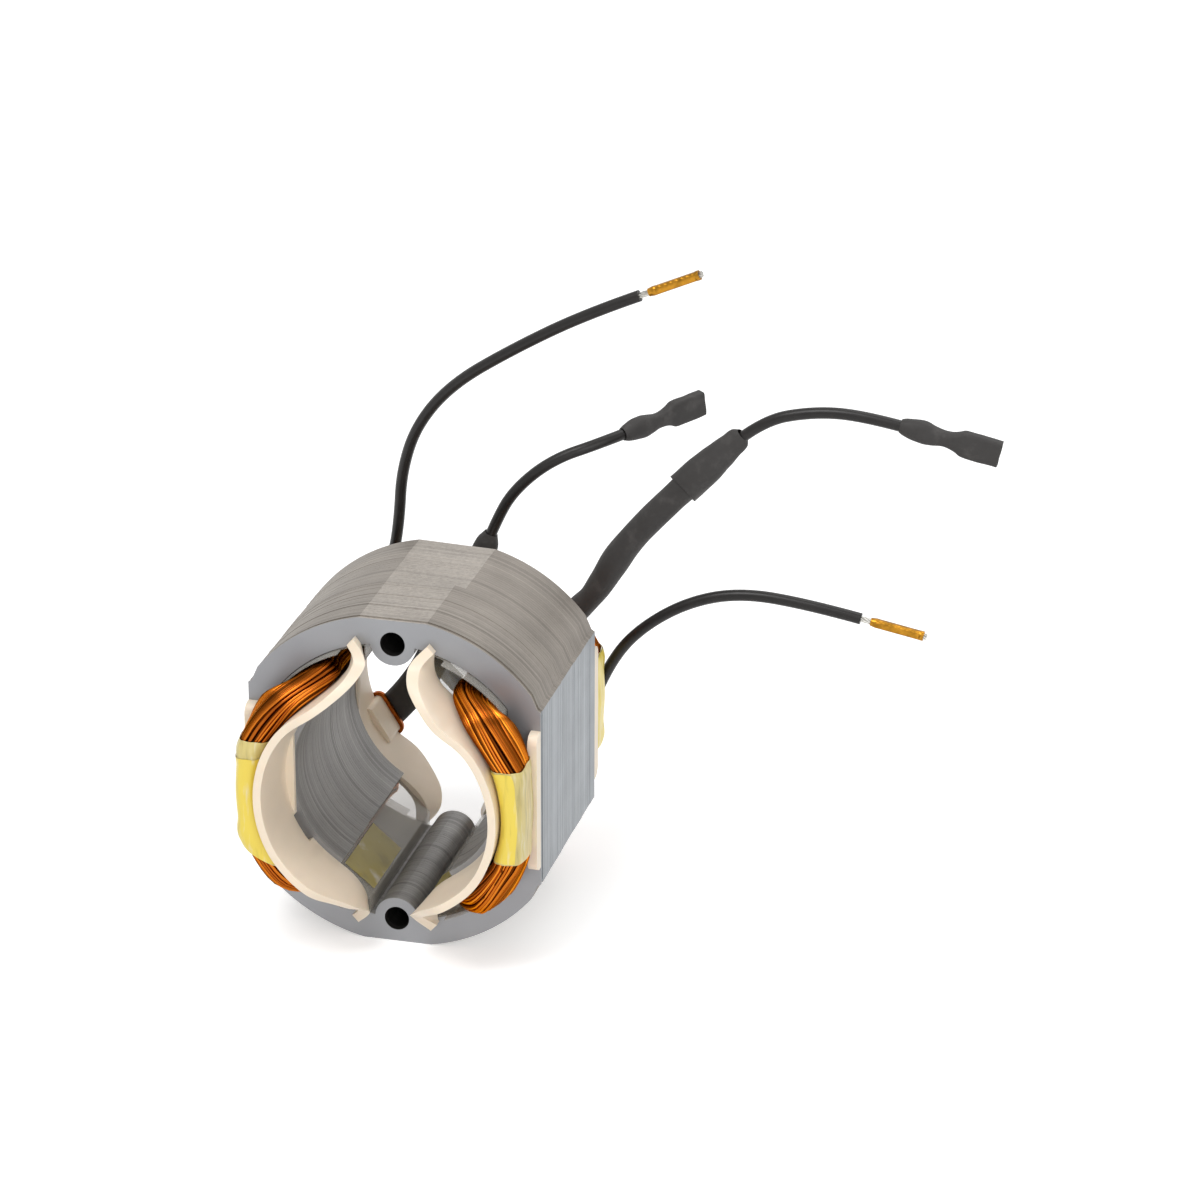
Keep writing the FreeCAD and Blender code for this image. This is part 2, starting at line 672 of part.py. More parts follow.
def oval(centre, across, along, half_across, half_along, grow=0.0, squareness=OVAL_SQUARENESS):
    """A closed outline between an ellipse (squareness 2) and a rectangle, smooth all round."""
    points = []
    for step in range(OVAL_POINTS):
        turn = 2 * math.pi * step / OVAL_POINTS
        cosine = math.cos(turn)
        sine = math.sin(turn)
        first = math.copysign(abs(cosine) ** (2 / squareness), cosine) * (half_across + grow)
        second = math.copysign(abs(sine) ** (2 / squareness), sine) * (half_along + grow)
        points.append(centre + across * first + along * second)
    curve = Part.BSplineCurve()
    curve.interpolate(Points=points, PeriodicFlag=True)
    return Part.Wire([curve.toShape()])


def slot_section_frame():
    """Centre, directions and half sizes of the bundle in the upper right slot."""
    tip = pole_tip_corner()
    root = slot_root_corner()
    along = (root - tip).normalize()
    across = Vector(-along.z, 0, along.x)
    film = size("liner_gap") + size("liner_thickness") + size("coil_slot_gap")
    wall_foot = size("bore_radius") + size("wall_foot_gap") + size("wall_thickness")
    low = max(tip.dot(across) + film, wall_foot + size("coil_wall_gap"))
    high = size("slot_radius") - film - 0.3
    middle = (low + high) / 2
    start = tip.dot(along) - 0.7
    at_neck = (size("slot_root_offset") - film - across.x * middle) / along.x - 0.8
    # The bundle's rounded corner stays inside the film on the slot's round wall
    corner = (1 + 0.5 ** (1 / OVAL_SQUARENESS)) / 2
    room = size("slot_radius") - size("liner_gap") - size("liner_thickness") - 0.1
    corner_across = low + corner * (high - low)
    at_wall = (math.sqrt(room ** 2 - corner_across ** 2) - start * (1 - corner)) / corner
    stop = min(at_neck, at_wall)
    centre = across * middle + along * ((start + stop) / 2)
    return centre, across, along, (high - low) / 2, (stop - start) / 2


def end_section_frame(rise):
    """Centre, directions and half sizes of the end winding at a height above the middle."""
    wall_out = size("bore_radius") + size("wall_rim_gap") + size("wall_thickness")
    near = math.sqrt(wall_out ** 2 - rise ** 2) + size("coil_wall_gap")
    far = size("coil_side_reach") - 0.6 * abs(rise) / size("tape_half_width")
    low = size("floor_thickness") + size("coil_floor_gap")
    high = size("coil_end_height")
    centre = at_front(Vector((near + far) / 2, 0, rise), (low + high) / 2)
    return centre, Vector(1, 0, 0), Vector(0, 1, 0), (far - near) / 2, (high - low) / 2


def shoulder_frame():
    """Centre, directions and half sizes of the bundle where it turns down from the slot."""
    slot_centre, slot_across, slot_along, slot_a, slot_b = slot_section_frame()
    end_centre, end_across, end_along, end_a, end_b = end_section_frame(size("tape_half_width"))
    centre = Vector((slot_centre.x + end_centre.x) / 2 - 0.9, 0,
                    slot_centre.z - size("coil_shoulder_drop"))
    centre = at_front(centre, size("coil_shoulder_height"))
    along = (slot_along + end_along * 1.2).normalize()
    across = (slot_across + end_across * 0.9).normalize()
    across = (across - along * across.dot(along)).normalize()
    return centre, across, along, (slot_a + end_a) / 2 - 0.2, (slot_b + end_b) / 2 - 0.3


def mirrored_frame(frame):
    """A section's frame mirrored below the middle of the pole."""
    centre, across, along, half_across, half_along = frame
    return flipped(centre), flipped(across), flipped(along), half_across, half_along


def end_winding_frames():
    """Frames of the bundle's sections over the front end, from the upper to the lower slot."""
    centre, across, along, half_across, half_along = slot_section_frame()
    exit_frame = (at_front(centre, size("coil_exit_height")), across, along,
                  half_across, half_along)
    upper = [exit_frame, shoulder_frame(), end_section_frame(size("tape_half_width"))]
    lower = [mirrored_frame(frame) for frame in reversed(upper)]
    return upper + [end_section_frame(0)] + lower


def tab_clearance():
    """The space that the outer tab keeps free of winding and tape."""
    gap = size("coil_tab_gap")
    inside = size("side_flat_offset") - size("tab_thickness") - gap
    half = size("tab_half_height") + gap
    return box(
        Vector(inside, -end_face() - size("tab_height") - gap, -half),
        Vector(size("yoke_radius"), -end_face(), half))


def end_winding():
    """The bundle over the front end of the right-hand pole."""
    sections = [oval(*frame) for frame in end_winding_frames()]
    return Part.makeLoft(sections, True, False).cut(tab_clearance())


def coil_shape():
    """A whole coil: two straight sides in the slots and an end winding at each end."""
    centre, across, along, half_across, half_along = slot_section_frame()
    reach = end_face() + size("coil_exit_height")
    section = oval(centre + Vector(0, -reach, 0), across, along, half_across, half_along)
    upper_side = Part.Face(section).extrude(Vector(0, 2 * reach, 0))
    lower_side = upper_side.copy()
    lower_side.rotate(Vector(0, 0, 0), Vector(1, 0, 0), 180)
    front = end_winding()
    back = front.copy()
    back.rotate(Vector(0, 0, 0), Vector(1, 0, 0), 180)
    return front.fuse([upper_side, lower_side, back]).removeSplitter()


def tape_shape(lower_reach, upper_reach, angle=0.0):
    """The tape wrapped round the middle of the front end winding.

    It reaches from below the middle of the pole to above it, where its edge may be slanted to
    lie square to the winding.
    """
    sections = [oval(*frame, size("tape_thickness")) for frame in end_winding_frames()]
    wide = 2 * size("yoke_radius")
    middle = (end_section_frame(0)[0].x + shoulder_frame()[0].x) / 2
    slope = math.tan(math.radians(angle))
    corners = [
        Vector(0, 0, -lower_reach),
        Vector(wide, 0, -lower_reach),
        Vector(wide, 0, upper_reach + (wide - middle) * slope),
        Vector(0, 0, upper_reach - middle * slope),
    ]
    wrapped = Part.Face(Part.makePolygon(corners + corners[:1])).extrude(Vector(0, -wide, 0))
    return Part.makeLoft(sections, True, False).common(wrapped).cut(end_winding()).cut(
        tab_clearance())


# Leads and sleeves

def route_wire(name, route):
    """The centre line of a tube: straight runs joined by arcs as large as the runs allow."""
    points = [Vector(*point) for point in route]
    edges = []
    start = points[0]
    radii = []
    for before, corner, after in zip(points, points[1:], points[2:]):
        incoming = (corner - before).normalize()
        outgoing = (after - corner).normalize()
        cut = BEND_SHARE * min((corner - before).Length, (after - corner).Length)
        turn = incoming.getAngle(outgoing)
        radii.append(cut / math.tan(turn / 2))
        arc_start = corner - incoming * cut
        arc_end = corner + outgoing * cut
        depth = radii[-1] * (1 / math.cos(turn / 2) - 1)
        middle = corner + (outgoing - incoming).normalize() * depth
        edges.append(Part.LineSegment(start, arc_start).toShape())
        edges.append(Part.Arc(arc_start, middle, arc_end).toShape())
        start = arc_end
    edges.append(Part.LineSegment(start, points[-1]).toShape())
    wire = Part.Wire(edges)
    print("%s: length %.1f, bend radii %s"
          % (name, wire.Length, ", ".join("%.0f" % radius for radius in radii)))
    return wire


def tube(wire, half_width, half_depth=None):
    """A solid swept along a centre line, round or flattened along Y."""
    start = wire.Edges[0].Vertexes[0].Point
    direction = (wire.Edges[0].Vertexes[1].Point - start).normalize()
    if half_depth is None:
        profile = Part.makeCircle(half_width, start, direction)
    else:
        wide = direction.cross(Vector(0, 1, 0)).normalize()
        ellipse = Part.Ellipse(start + wide * half_width, start + Vector(0, half_depth, 0), start)
        profile = ellipse.toShape()
    return wire.makePipeShell([Part.Wire([profile])], True, False)


def lead(label, route):
    """A lead's insulated wire, with its volume checked against its length."""
    wire = route_wire(label, route)
    shape = tube(wire, size("lead_radius"))
    expected = math.pi * size("lead_radius") ** 2 * wire.Length
    if abs(shape.Volume / expected - 1) > 0.01:
        raise ValueError("%s has the wrong volume" % label)
    return add_shape(label, shape)


def end_of(route):
    """The last point of a route and the direction it leaves in."""
    last = Vector(*route[-1])
    return last, (last - Vector(*route[-2])).normalize()


def rod(start, direction, radius, length):
    """A cylinder along a direction."""
    return Part.makeCylinder(radius, length, start, direction)


def ferruled_end(letter, route):
    """Bare conductor and crimped ferrule on the end of a lead."""
    start, direction = end_of(route)
    neck = size("strand_neck")
    length = size("ferrule_length")
    radius = size("strand_radius")
    strands = rod(start, direction, radius, neck + length + size("strand_stub"))
    add_shape("lead_%s_strands" % letter, strands)
    seat = start + direction * neck
    barrel = rod(seat, direction, size("ferrule_radius"), length)
    hole = rod(seat, direction, radius + size("ferrule_bore_gap"), length)
    add_shape("lead_%s_ferrule" % letter, barrel.cut(hole))


def terminal_end(letter, route):
    """Sleeved receptacle on the end of a lead."""
    last, direction = end_of(route)
    start = last - direction * size("terminal_cover")
    wide = (Vector(0, 0, 1) - direction * direction.z).normalize()
    deep = direction.cross(wide)
    width = size("terminal_half_width")
    depth = size("terminal_half_depth")
    barrel = size("lead_radius") + size("shrink_gap") + size("crimp_wall")
    covered = barrel + size("shrink_gap") + size("shrink_wall")
    neck = covered - size("crimp_wall")
    stations = [
        (0.0, neck, neck, 2.0),
        (0.12, size("terminal_bulge"), covered, 2.6),
        (0.29, size("terminal_bulge"), covered, 2.6),
        (0.37, size("terminal_waist"), depth + 0.1, 3.0),
        (0.50, size("terminal_waist"), depth, 3.4),
        (0.61, width, depth, 4.0),
        (1.0, width, depth, 4.0),
    ]

    def skin(inset):
        length = size("terminal_length")
        rings = [oval(start + direction * (share * length), wide, deep,
                      half_width - inset, half_depth - inset, 0.0, squareness)
                 for share, half_width, half_depth, squareness in stations]
        return Part.makeLoft(rings, True, True)

    add_shape("lead_%s_terminal_sleeve" % letter, skin(0).cut(skin(size("shrink_wall"))))
    add_shape("lead_%s_receptacle" % letter,
              receptacle(start, direction, wide, deep, barrel))


def receptacle(start, direction, wide, deep, barrel):
    """A push-on receptacle of rolled brass sheet with its crimp barrel on the lead."""
    box_end = size("terminal_length") - size("receptacle_recess")
    box_start = box_end - size("receptacle_length")
    crimp_start = size("crimp_start")
    crimp_end = crimp_start + size("crimp_length")
    sheet_half = size("receptacle_sheet") / 2
    half_width = size("receptacle_half_width")
    half_depth = size("receptacle_half_depth")
    frame = Matrix(direction.x, wide.x, deep.x, start.x,
                   direction.y, wide.y, deep.y, start.y,
                   direction.z, wide.z, deep.z, start.z,
                   0, 0, 0, 1)

    def block(low, high, across, depth, lift=0.0):
        corner = Vector(low, -across, lift - depth)
        return Part.makeBox(high - low, 2 * across, 2 * depth, corner)

    def round_part(low, high, radius):
        return Part.makeCylinder(radius, high - low, Vector(low, 0, 0), Vector(1, 0, 0))

    blade_box = block(box_start, box_end, half_width, half_depth)
    blade_gap = block(box_start, box_end, half_width - size("receptacle_sheet"),
                      half_depth - size("receptacle_sheet"))
    roll_gap = block(box_start, box_end, half_width / 4, half_depth, half_depth)
    barrel_part = round_part(crimp_start, crimp_end, barrel)
    barrel_bore = round_part(crimp_start, size("terminal_cover") + size("shrink_gap"),
                             size("lead_radius") + size("shrink_gap"))
    conductor_crimp = round_part(crimp_end, box_start - 2, half_depth + sheet_half)
    tongue = block(crimp_end - 1, box_start + 1, half_width / 2, sheet_half,
                   sheet_half - half_depth)
    whole = blade_box.cut(blade_gap).cut(roll_gap).fuse(
        [barrel_part.cut(barrel_bore), conductor_crimp, tongue])
    return whole.removeSplitter().transformGeometry(frame)


def sleeves():
    """Shrink tubing over the splices of leads B and C."""
    wall = size("shrink_wall")
    path = route_wire("lead_b_splice_sleeve", SLEEVE_B_ROUTE)
    half_width = size("flat_sleeve_half_width")
    half_depth = size("flat_sleeve_half_depth")
    outside = tube(path, half_width, half_depth)
    add_shape("lead_b_splice_sleeve", outside.cut(tube(path, half_width - wall, half_depth - wall)))
    path = route_wire("lead_c_inner_sleeve", SLEEVE_C_ROUTE)
    radius = size("round_sleeve_radius")
    add_shape("lead_c_inner_sleeve", tube(path, radius).cut(tube(path, radius - wall)))
    wire_start = Vector(*LEAD_C_ROUTE[0])
    direction = (Vector(*LEAD_C_ROUTE[1]) - wire_start).normalize()
    before = size("outer_sleeve_before")
    after = size("outer_sleeve_after")
    mouth = wire_start - direction * before
    outside = Part.makeCone(size("outer_sleeve_mouth"), size("outer_sleeve_neck"),
                            before + after, mouth, direction)
    wide_bore = rod(mouth, direction, radius + size("shrink_gap"), size("outer_sleeve_overlap"))
    neck_bore = rod(mouth, direction, size("lead_radius") + size("shrink_gap"), before + after)
    add_shape("lead_c_outer_sleeve", outside.cut(wide_bore).cut(neck_bore))


# The whole stator

make_stack()

liner = liner_shape()
QUARTERS = [
    ("upper_right", IN_PLACE),
    ("lower_right", ABOUT_CROSSWISE),
    ("upper_left", ABOUT_UPRIGHT),
    ("lower_left", ABOUT_BORE),
]
for place, placement in QUARTERS:
    add_shape("slot_liner_" + place, liner, placement)

wide_patch = patch_shape(1, size("wide_patch_tip_inset"), size("wide_patch_yoke_inset"),
                         size("wide_patch_length"))
right_patch = patch_shape(-1, size("right_patch_tip_inset"), size("right_patch_yoke_inset"),
                          size("right_patch_length"))
upper_patch = patch_shape(1, size("upper_patch_inset"), size("upper_patch_inset"),
                          size("upper_patch_length"))
add_shape("slot_tape_lower_left", wide_patch, ABOUT_BORE)
add_shape("slot_tape_lower_right", right_patch)
add_shape("slot_tape_upper_right", upper_patch)

plain_former = former_shape()
posted_former = posted_former_shape()
add_shape("end_former_front_right", plain_former)
add_shape("end_former_front_left", plain_former, ABOUT_BORE)
add_shape("end_former_rear_left", posted_former, ABOUT_UPRIGHT)
add_shape("end_former_rear_right", posted_former, ABOUT_CROSSWISE)

coil = coil_shape()
add_shape("field_coil_right", coil)
add_shape("field_coil_left", coil, ABOUT_BORE)

full_reach = size("tape_half_width")
tape = tape_shape(full_reach, full_reach)
narrow_tape = tape_shape(size("narrow_tape_reach"), full_reach)
slanted_tape = tape_shape(full_reach, size("slanted_tape_reach"), size("slanted_tape_angle"))
add_shape("end_tape_front_right", narrow_tape)
add_shape("end_tape_front_left", slanted_tape, ABOUT_BORE)
add_shape("end_tape_rear_left", tape, ABOUT_UPRIGHT)
add_shape("end_tape_rear_right", tape, ABOUT_CROSSWISE)

post_turn = post_turn_shape()
add_shape("post_turn_left", post_turn, ABOUT_UPRIGHT)
add_shape("post_turn_right", post_turn, ABOUT_CROSSWISE)

lead("lead_a_wire", LEAD_A_ROUTE)
lead("lead_b_wire", LEAD_B_ROUTE)
lead("lead_c_wire", LEAD_C_ROUTE)
lead("lead_d_wire", LEAD_D_ROUTE)
ferruled_end("a", LEAD_A_ROUTE)
ferruled_end("d", LEAD_D_ROUTE)
terminal_end("b", LEAD_B_ROUTE)
terminal_end("c", LEAD_C_ROUTE)
sleeves()

doc.recompute()
for obj in doc.Objects:
    if "Invalid" in obj.State or "Error" in obj.State:
        raise ValueError("%s did not compute: %s" % (obj.Label, obj.State))
for node in NODES:
    if node.Shape.isNull() or not node.Shape.isValid():
        raise ValueError("%s has no valid shape" % node.Label)

os.makedirs("parts", exist_ok=True)
for node in NODES:
    node.Shape.exportStep("parts/%s.step" % node.Label)
    print("%-26s %9.1f mm3, %d solids" % (node.Label, node.Shape.Volume, len(node.Shape.Solids)))
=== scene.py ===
import bisect
import functools
import math
import random

import bpy
from mathutils import Matrix, Vector, noise
from mathutils.geometry import tessellate_polygon


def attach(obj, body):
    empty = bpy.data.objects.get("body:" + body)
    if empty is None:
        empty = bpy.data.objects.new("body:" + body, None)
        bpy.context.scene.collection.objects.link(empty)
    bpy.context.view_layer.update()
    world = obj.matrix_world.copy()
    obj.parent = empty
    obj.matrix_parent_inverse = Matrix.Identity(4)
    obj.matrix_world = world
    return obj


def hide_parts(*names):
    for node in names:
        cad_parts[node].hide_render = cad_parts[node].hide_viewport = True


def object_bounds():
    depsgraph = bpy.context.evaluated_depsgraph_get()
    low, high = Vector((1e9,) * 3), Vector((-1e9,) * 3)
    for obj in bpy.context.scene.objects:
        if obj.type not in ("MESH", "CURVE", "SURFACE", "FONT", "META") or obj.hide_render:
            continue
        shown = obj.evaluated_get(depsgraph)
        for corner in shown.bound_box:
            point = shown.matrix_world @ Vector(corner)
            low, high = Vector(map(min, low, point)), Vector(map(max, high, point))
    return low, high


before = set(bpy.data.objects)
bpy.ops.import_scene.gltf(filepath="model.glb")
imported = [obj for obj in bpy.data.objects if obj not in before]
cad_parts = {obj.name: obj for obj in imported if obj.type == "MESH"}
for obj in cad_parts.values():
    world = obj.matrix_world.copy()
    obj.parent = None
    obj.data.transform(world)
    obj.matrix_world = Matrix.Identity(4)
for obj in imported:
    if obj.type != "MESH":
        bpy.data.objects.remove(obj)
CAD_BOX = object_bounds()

bl_info = {
    "name": "Wound field stator",
    "version": (1, 0, 0),
    "blender": (4, 5, 0),
    "location": "View3D > Sidebar > Stator",
    "description": "Dresses the CAD frame of a universal motor's field stator",
    "category": "Object",
}

# Shapes are worked out in millimetres and scaled by this where a mesh is made
MM = 0.001

# Sizes that the CAD source gives, in millimetres
STACK_HALF = 24.75
YOKE_RADIUS = 42.0
CROWN_FLAT = 41.2
SIDE_FLAT = 35.35
SIDE_HALF_HEIGHT = 21.9
SIDE_STEP = 0.8
SIDE_STEP_RISE = 0.5
CORNER = 33.0
BORE_RADIUS = 25.0
POLE_HALF_ANGLE = 58.7
POLE_TIP = 1.9
SLOT_RADIUS = 35.3
SLOT_ROOT = 27.5
NECK_HALF_HEIGHT = 13.5
BOLT_OFFSET = 35.3
BOLT_RADIUS = 3.0
BOSS_RADIUS = 5.35
WALL_FOOT_GAP = 1.2
WALL_RIM_GAP = 2.3
WALL_THICKNESS = 1.9
TAB_THICKNESS = 2.3
TAB_HEIGHT = 3.5
TAB_HALF_HEIGHT = 17.4
TAPE_HALF_WIDTH = 12.5
FILM_CORNER = Vector((6.3, 0, 31.0))
FERRULE_LENGTH = 13.2
STRAND_NECK = 2.4
STRAND_STUB = 0.7
TERMINAL_LENGTH = 24.4
TERMINAL_COVER = 5.6
OUTER_SLEEVE_BEFORE = 14.0
OUTER_SLEEVE_LENGTH = 21.2

# Routes of the leads and sleeves, the same points as in the CAD source, in metres
LEAD_ROUTES = {
    "a": [(-0.0279, 0.0411, 0.013), (-0.0243, 0.0407, 0.0216), (-0.0189, 0.0384, 0.0304),
          (-0.0169, 0.037, 0.0408), (-0.0158, 0.036, 0.0537), (-0.0113, 0.034, 0.0668),
          (-0.0018, 0.032, 0.0788), (0.0137, 0.03, 0.0897), (0.0318, 0.029, 0.1004),
          (0.0449, 0.029, 0.1062)],
    "b": [(0.0015, 0.0452, 0.0296), (0.005, 0.0452, 0.039), (0.0098, 0.0452, 0.048),
          (0.0191, 0.0465, 0.0563), (0.0305, 0.0504, 0.0603), (0.0379, 0.0596, 0.0617)],
    "c": [(0.0615, 0.045, 0.0626), (0.0701, 0.045, 0.0716), (0.084, 0.045, 0.0755),
          (0.097, 0.045, 0.0753), (0.1099, 0.045, 0.07266)],
    "d": [(0.0313, 0.0411, -0.0026), (0.0344, 0.0411, 0.0056), (0.0413, 0.0411, 0.0156),
          (0.0536, 0.0411, 0.0246), (0.0674, 0.0411, 0.0288), (0.0846, 0.0411, 0.0274),
          (0.097, 0.0411, 0.0251)],
}
SLEEVE_ROUTES = {
    "b": [(-0.021, 0.0452, -0.013), (-0.015, 0.0452, -0.0063), (-0.009, 0.0452, 0.006),
          (-0.0022, 0.0452, 0.0197), (0.0039, 0.0452, 0.036)],
    "c": [(0.0212, 0.047, 0.0131), (0.0296, 0.0459, 0.0216), (0.0366, 0.045, 0.035),
          (0.0462, 0.045, 0.0466), (0.0564, 0.045, 0.05726)],
}

# The camera of the photograph: angles in degrees, distances in metres
CAMERA_AZIMUTH = 14.386
CAMERA_ELEVATION = 22.908
CAMERA_ROLL = 0.174
CAMERA_TARGET = Vector((0.042995, 0.0, 0.040963))
CAMERA_DISTANCE = 1.0451
CAMERA_LENS = 134.78

# Name, place and size in metres, and power of each lamp
LAMPS = [("key", (-0.3, -0.5, 1.15), 0.6, 7.5), ("fill", (0.7, -1.1, 0.5), 1.0, 6.0),
         ("top", (0.3, 0.5, 1.1), 0.8, 3.5)]


def linear(code):
    """An sRGB hex colour as linear red, green and blue."""
    values = [int(code[place:place + 2], 16) / 255 for place in (0, 2, 4)]
    return tuple(value / 12.92 if value <= 0.04045 else ((value + 0.055) / 1.055) ** 2.4
                 for value in values)


def colour(code, name, description):
    """A colour property whose default is an sRGB hex colour."""
    return bpy.props.FloatVectorProperty(
        name=name, description=description, subtype="COLOR", size=3, min=0, max=1,
        default=linear(code))


def length(default, name, description):
    """A length property in metres."""
    return bpy.props.FloatProperty(
        name=name, description=description, unit="LENGTH", precision=5, min=0.00001,
        default=default)


class StatorSizes(bpy.types.PropertyGroup):
    """Sizes of the stator's fine parts."""

    sheet: length(0.0005, "Lamination", "Thickness of one punched sheet of the stack")
    misfit: length(0.00004, "Misfit", "How far a sheet may lie beside its neighbours")
    magnet_wire: length(0.00074, "Magnet wire", "Diameter of the enamelled winding wire")
    lead: length(0.0028, "Lead", "Diameter of a lead over its insulation")
    tape: length(0.0003, "Tape", "How far the tape wrap stands over the winding")
    edge: length(0.0004, "Moulded edge", "Radius of the formers' moulded edges")


class StatorColours(bpy.types.PropertyGroup):
    """Colours of the stator's finishes."""

    sheet_face: colour("97989B", "Sheet face", "Rolled face of the electrical steel")
    cut_edge: colour("979088", "Cut edge", "Punched edges of the pressed sheets")
    ground_flat: colour("ABA49C", "Ground flat", "The narrow flats at the top and bottom")
    # The side flats' lighter blue-grey is painted sheen, standing in for the reflection the flats
    # catch
    side_flat: colour("9EA2A6", "Side flat", "The tall flats at the sides")
    bore: colour("9B9997", "Bore", "Punched edges in the bore and the slots")
    # The bolt holes' near black is painted shade, for holes that the light does not reach
    bolt_hole_shade: colour("2B2927", "Bolt hole", "Oiled edges in the bolt holes")
    former: colour("F0E0CA", "Former", "Moulded end formers")
    copper: colour("A9591C", "Copper", "Enamelled copper wire")
    tape: colour("E9D04A", "Tape", "Yellow polyester tape, two layers of it")
    thin_tape: colour("E3D284", "Thin tape", "Yellow polyester tape, one layer of it")
    slot_tape: colour("A69432", "Slot tape", "Yellow polyester tape on the dark slot liners")
    film: colour("CFCBC2", "Film", "Clear polyester slot liners")
    insulation: colour("171514", "Insulation", "Rubber insulation of the leads")
    shrink: colour("393736", "Shrink tube", "Heat-shrink tubing")
    brass: colour("B9832B", "Brass", "Crimped ferrules and receptacles")
    tinned: colour("C2C0BA", "Tinned copper", "Bare strands of the leads")


# Materials

def add_node(tree, kind, inputs=None, stops=(), to=None, **settings):
    """Add a node with its settings, its inputs' values and links, and a colour ramp's stops.

    An input that is given a node takes that node's first output, and so does the socket to.
    """
    node = tree.nodes.new("ShaderNode" + kind)
    for name, value in settings.items():
        setattr(node, name, value)
    for name, value in (inputs or {}).items():
        if isinstance(value, bpy.types.Node):
            value = value.outputs[0]
        if isinstance(value, bpy.types.NodeSocket):
            tree.links.new(value, node.inputs[name])
        else:
            node.inputs[name].default_value = value
    if stops:
        elements = node.color_ramp.elements
        while len(elements) < len(stops):
            elements.new(1)
        for element, (place, shade) in zip(elements, stops):
            element.position = place
            element.color = (*shade, 1)
    if to is not None:
        tree.links.new(node.outputs[0], to)
    return node


def new_material(name, **sockets):
    """A material with one Principled BSDF, whose uniform values sit on its own sockets."""
    material = bpy.data.materials.new(name)
    material.use_nodes = True
    shader = material.node_tree.nodes["Principled BSDF"]
    for socket, value in sockets.items():
        shader.inputs[socket.replace("_", " ")].default_value = value
    return material, material.node_tree, shader


def shaded(shade, factor):
    """A colour made lighter or darker."""
    return tuple(min(value * factor, 1.0) for value in shade)


def grains(size_mm):
    """A texture's scale that gives grains of a size in millimetres."""
    return 1 / (size_mm * MM)


def clouded(name, shade, cloud_mm, tones, texture=None, stretch=None, relief=None, **sockets):
    """A material whose tone changes in soft clouds of a size.

    tones are places on the clouds, each with a factor on the shade or a colour of its own.
    relief is a grain's size, depth and strength, with no size where the clouds stand out.
    """
    material, tree, shader = new_material(name, **sockets)
    place = add_node(tree, "TexCoord").outputs["Object"]
    if stretch:
        place = add_node(tree, "Mapping", {"Vector": place, "Scale": stretch})
    clouds = add_node(tree, "TexNoise", {
        "Vector": place, "Scale": grains(cloud_mm), **(texture or {})}, name="clouds")
    add_node(tree, "ValToRGB", {"Fac": clouds}, [
        (at, factor if isinstance(factor, tuple) else shaded(shade, factor))
        for at, factor in tones], shader.inputs["Base Color"])
    if relief:
        grain_mm, depth_mm, strength = relief
        height = add_node(tree, "TexNoise", {
            "Vector": place, "Scale": grains(grain_mm)}) if grain_mm else clouds
        add_node(tree, "Bump", {"Height": height, "Distance": depth_mm * MM,
                                "Strength": strength}, to=shader.inputs["Normal"])
    return material


def rolled_sheet(shade):
    """Cold rolled electrical steel: an even dull grey with the faintest clouds of mill finish."""
    return clouded("rolled_electrical_steel", shade, 13.0, [(0.3, 0.95), (0.7, 1.03)],
                   relief=(0.5, 0.02, 0.3), Metallic=0.75, Roughness=0.5)


def punched_edges(name, shade, lines, fuzz):
    """Edges of the punched sheets: fine even lines, some of them darker or lighter.

    Sheets of 0.5 mm are too fine to show, so two are drawn as one line. lines and fuzz are how
    strongly the lines and the specks of the sawn or ground spots show.
    """
    material, tree, shader = new_material(name, Metallic=0.6, Roughness=0.5)
    place = add_node(tree, "TexCoord").outputs["Object"]
    depth = add_node(tree, "SeparateXYZ", {"Vector": place}).outputs["Y"]
    pairs = add_node(tree, "Math", {0: depth, 1: 1.0 * MM}, operation="DIVIDE")
    number = add_node(tree, "Math", {0: pairs}, operation="FLOOR")
    drawn = add_node(tree, "TexWhiteNoise", {"W": number}, noise_dimensions="1D")
    tone = add_node(tree, "ValToRGB", {"Fac": drawn}, [
        (at, shaded(shade, 1 + change * lines))
        for at, change in ((0.0, -0.55), (0.09, -0.16), (0.9, 0.08), (1.0, 0.5))])
    joint = add_node(tree, "Math", {0: pairs, 1: 0.5}, operation="PINGPONG")
    groove = add_node(tree, "MapRange", {
        "Value": joint, "From Max": 0.2, "To Min": 1 - 0.4 * lines, "To Max": 1})
    light = groove
    for size_mm, texture, low, high in (
            (0.9, {"Detail": 5, "Roughness": 0.7}, 1 - fuzz, 1 + fuzz), (9.0, {}, 0.93, 1.06)):
        spots = add_node(tree, "TexNoise", {
            "Vector": place, "Scale": grains(size_mm), **texture})
        spots = add_node(tree, "MapRange", {
            "Value": spots, "From Min": 0.3, "From Max": 0.7, "To Min": low, "To Max": high})
        light = add_node(tree, "Math", {0: light, 1: spots}, operation="MULTIPLY")
    add_node(tree, "VectorMath", {0: tone, "Scale": light}, to=shader.inputs["Base Color"],
             operation="SCALE")
    add_node(tree, "Bump", {"Height": groove, "Distance": 0.1 * MM, "Strength": 0.5},
             to=shader.inputs["Normal"])
    return material


def moulded_plastic(shade):
    """Moulded thermoset: a warm cream with a satin skin, darker in the cloudy flow marks."""
    return clouded("moulded_cream_plastic", shade, 12.0, [(0.3, 0.94), (0.65, 1)], {"Detail": 3},
                   relief=(1.4, 0.05, 0.25), Roughness=0.4, IOR=1.5, Subsurface_Weight=0.15,
                   Subsurface_Radius=(0.004, 0.0025, 0.0015), Subsurface_Scale=0.5)


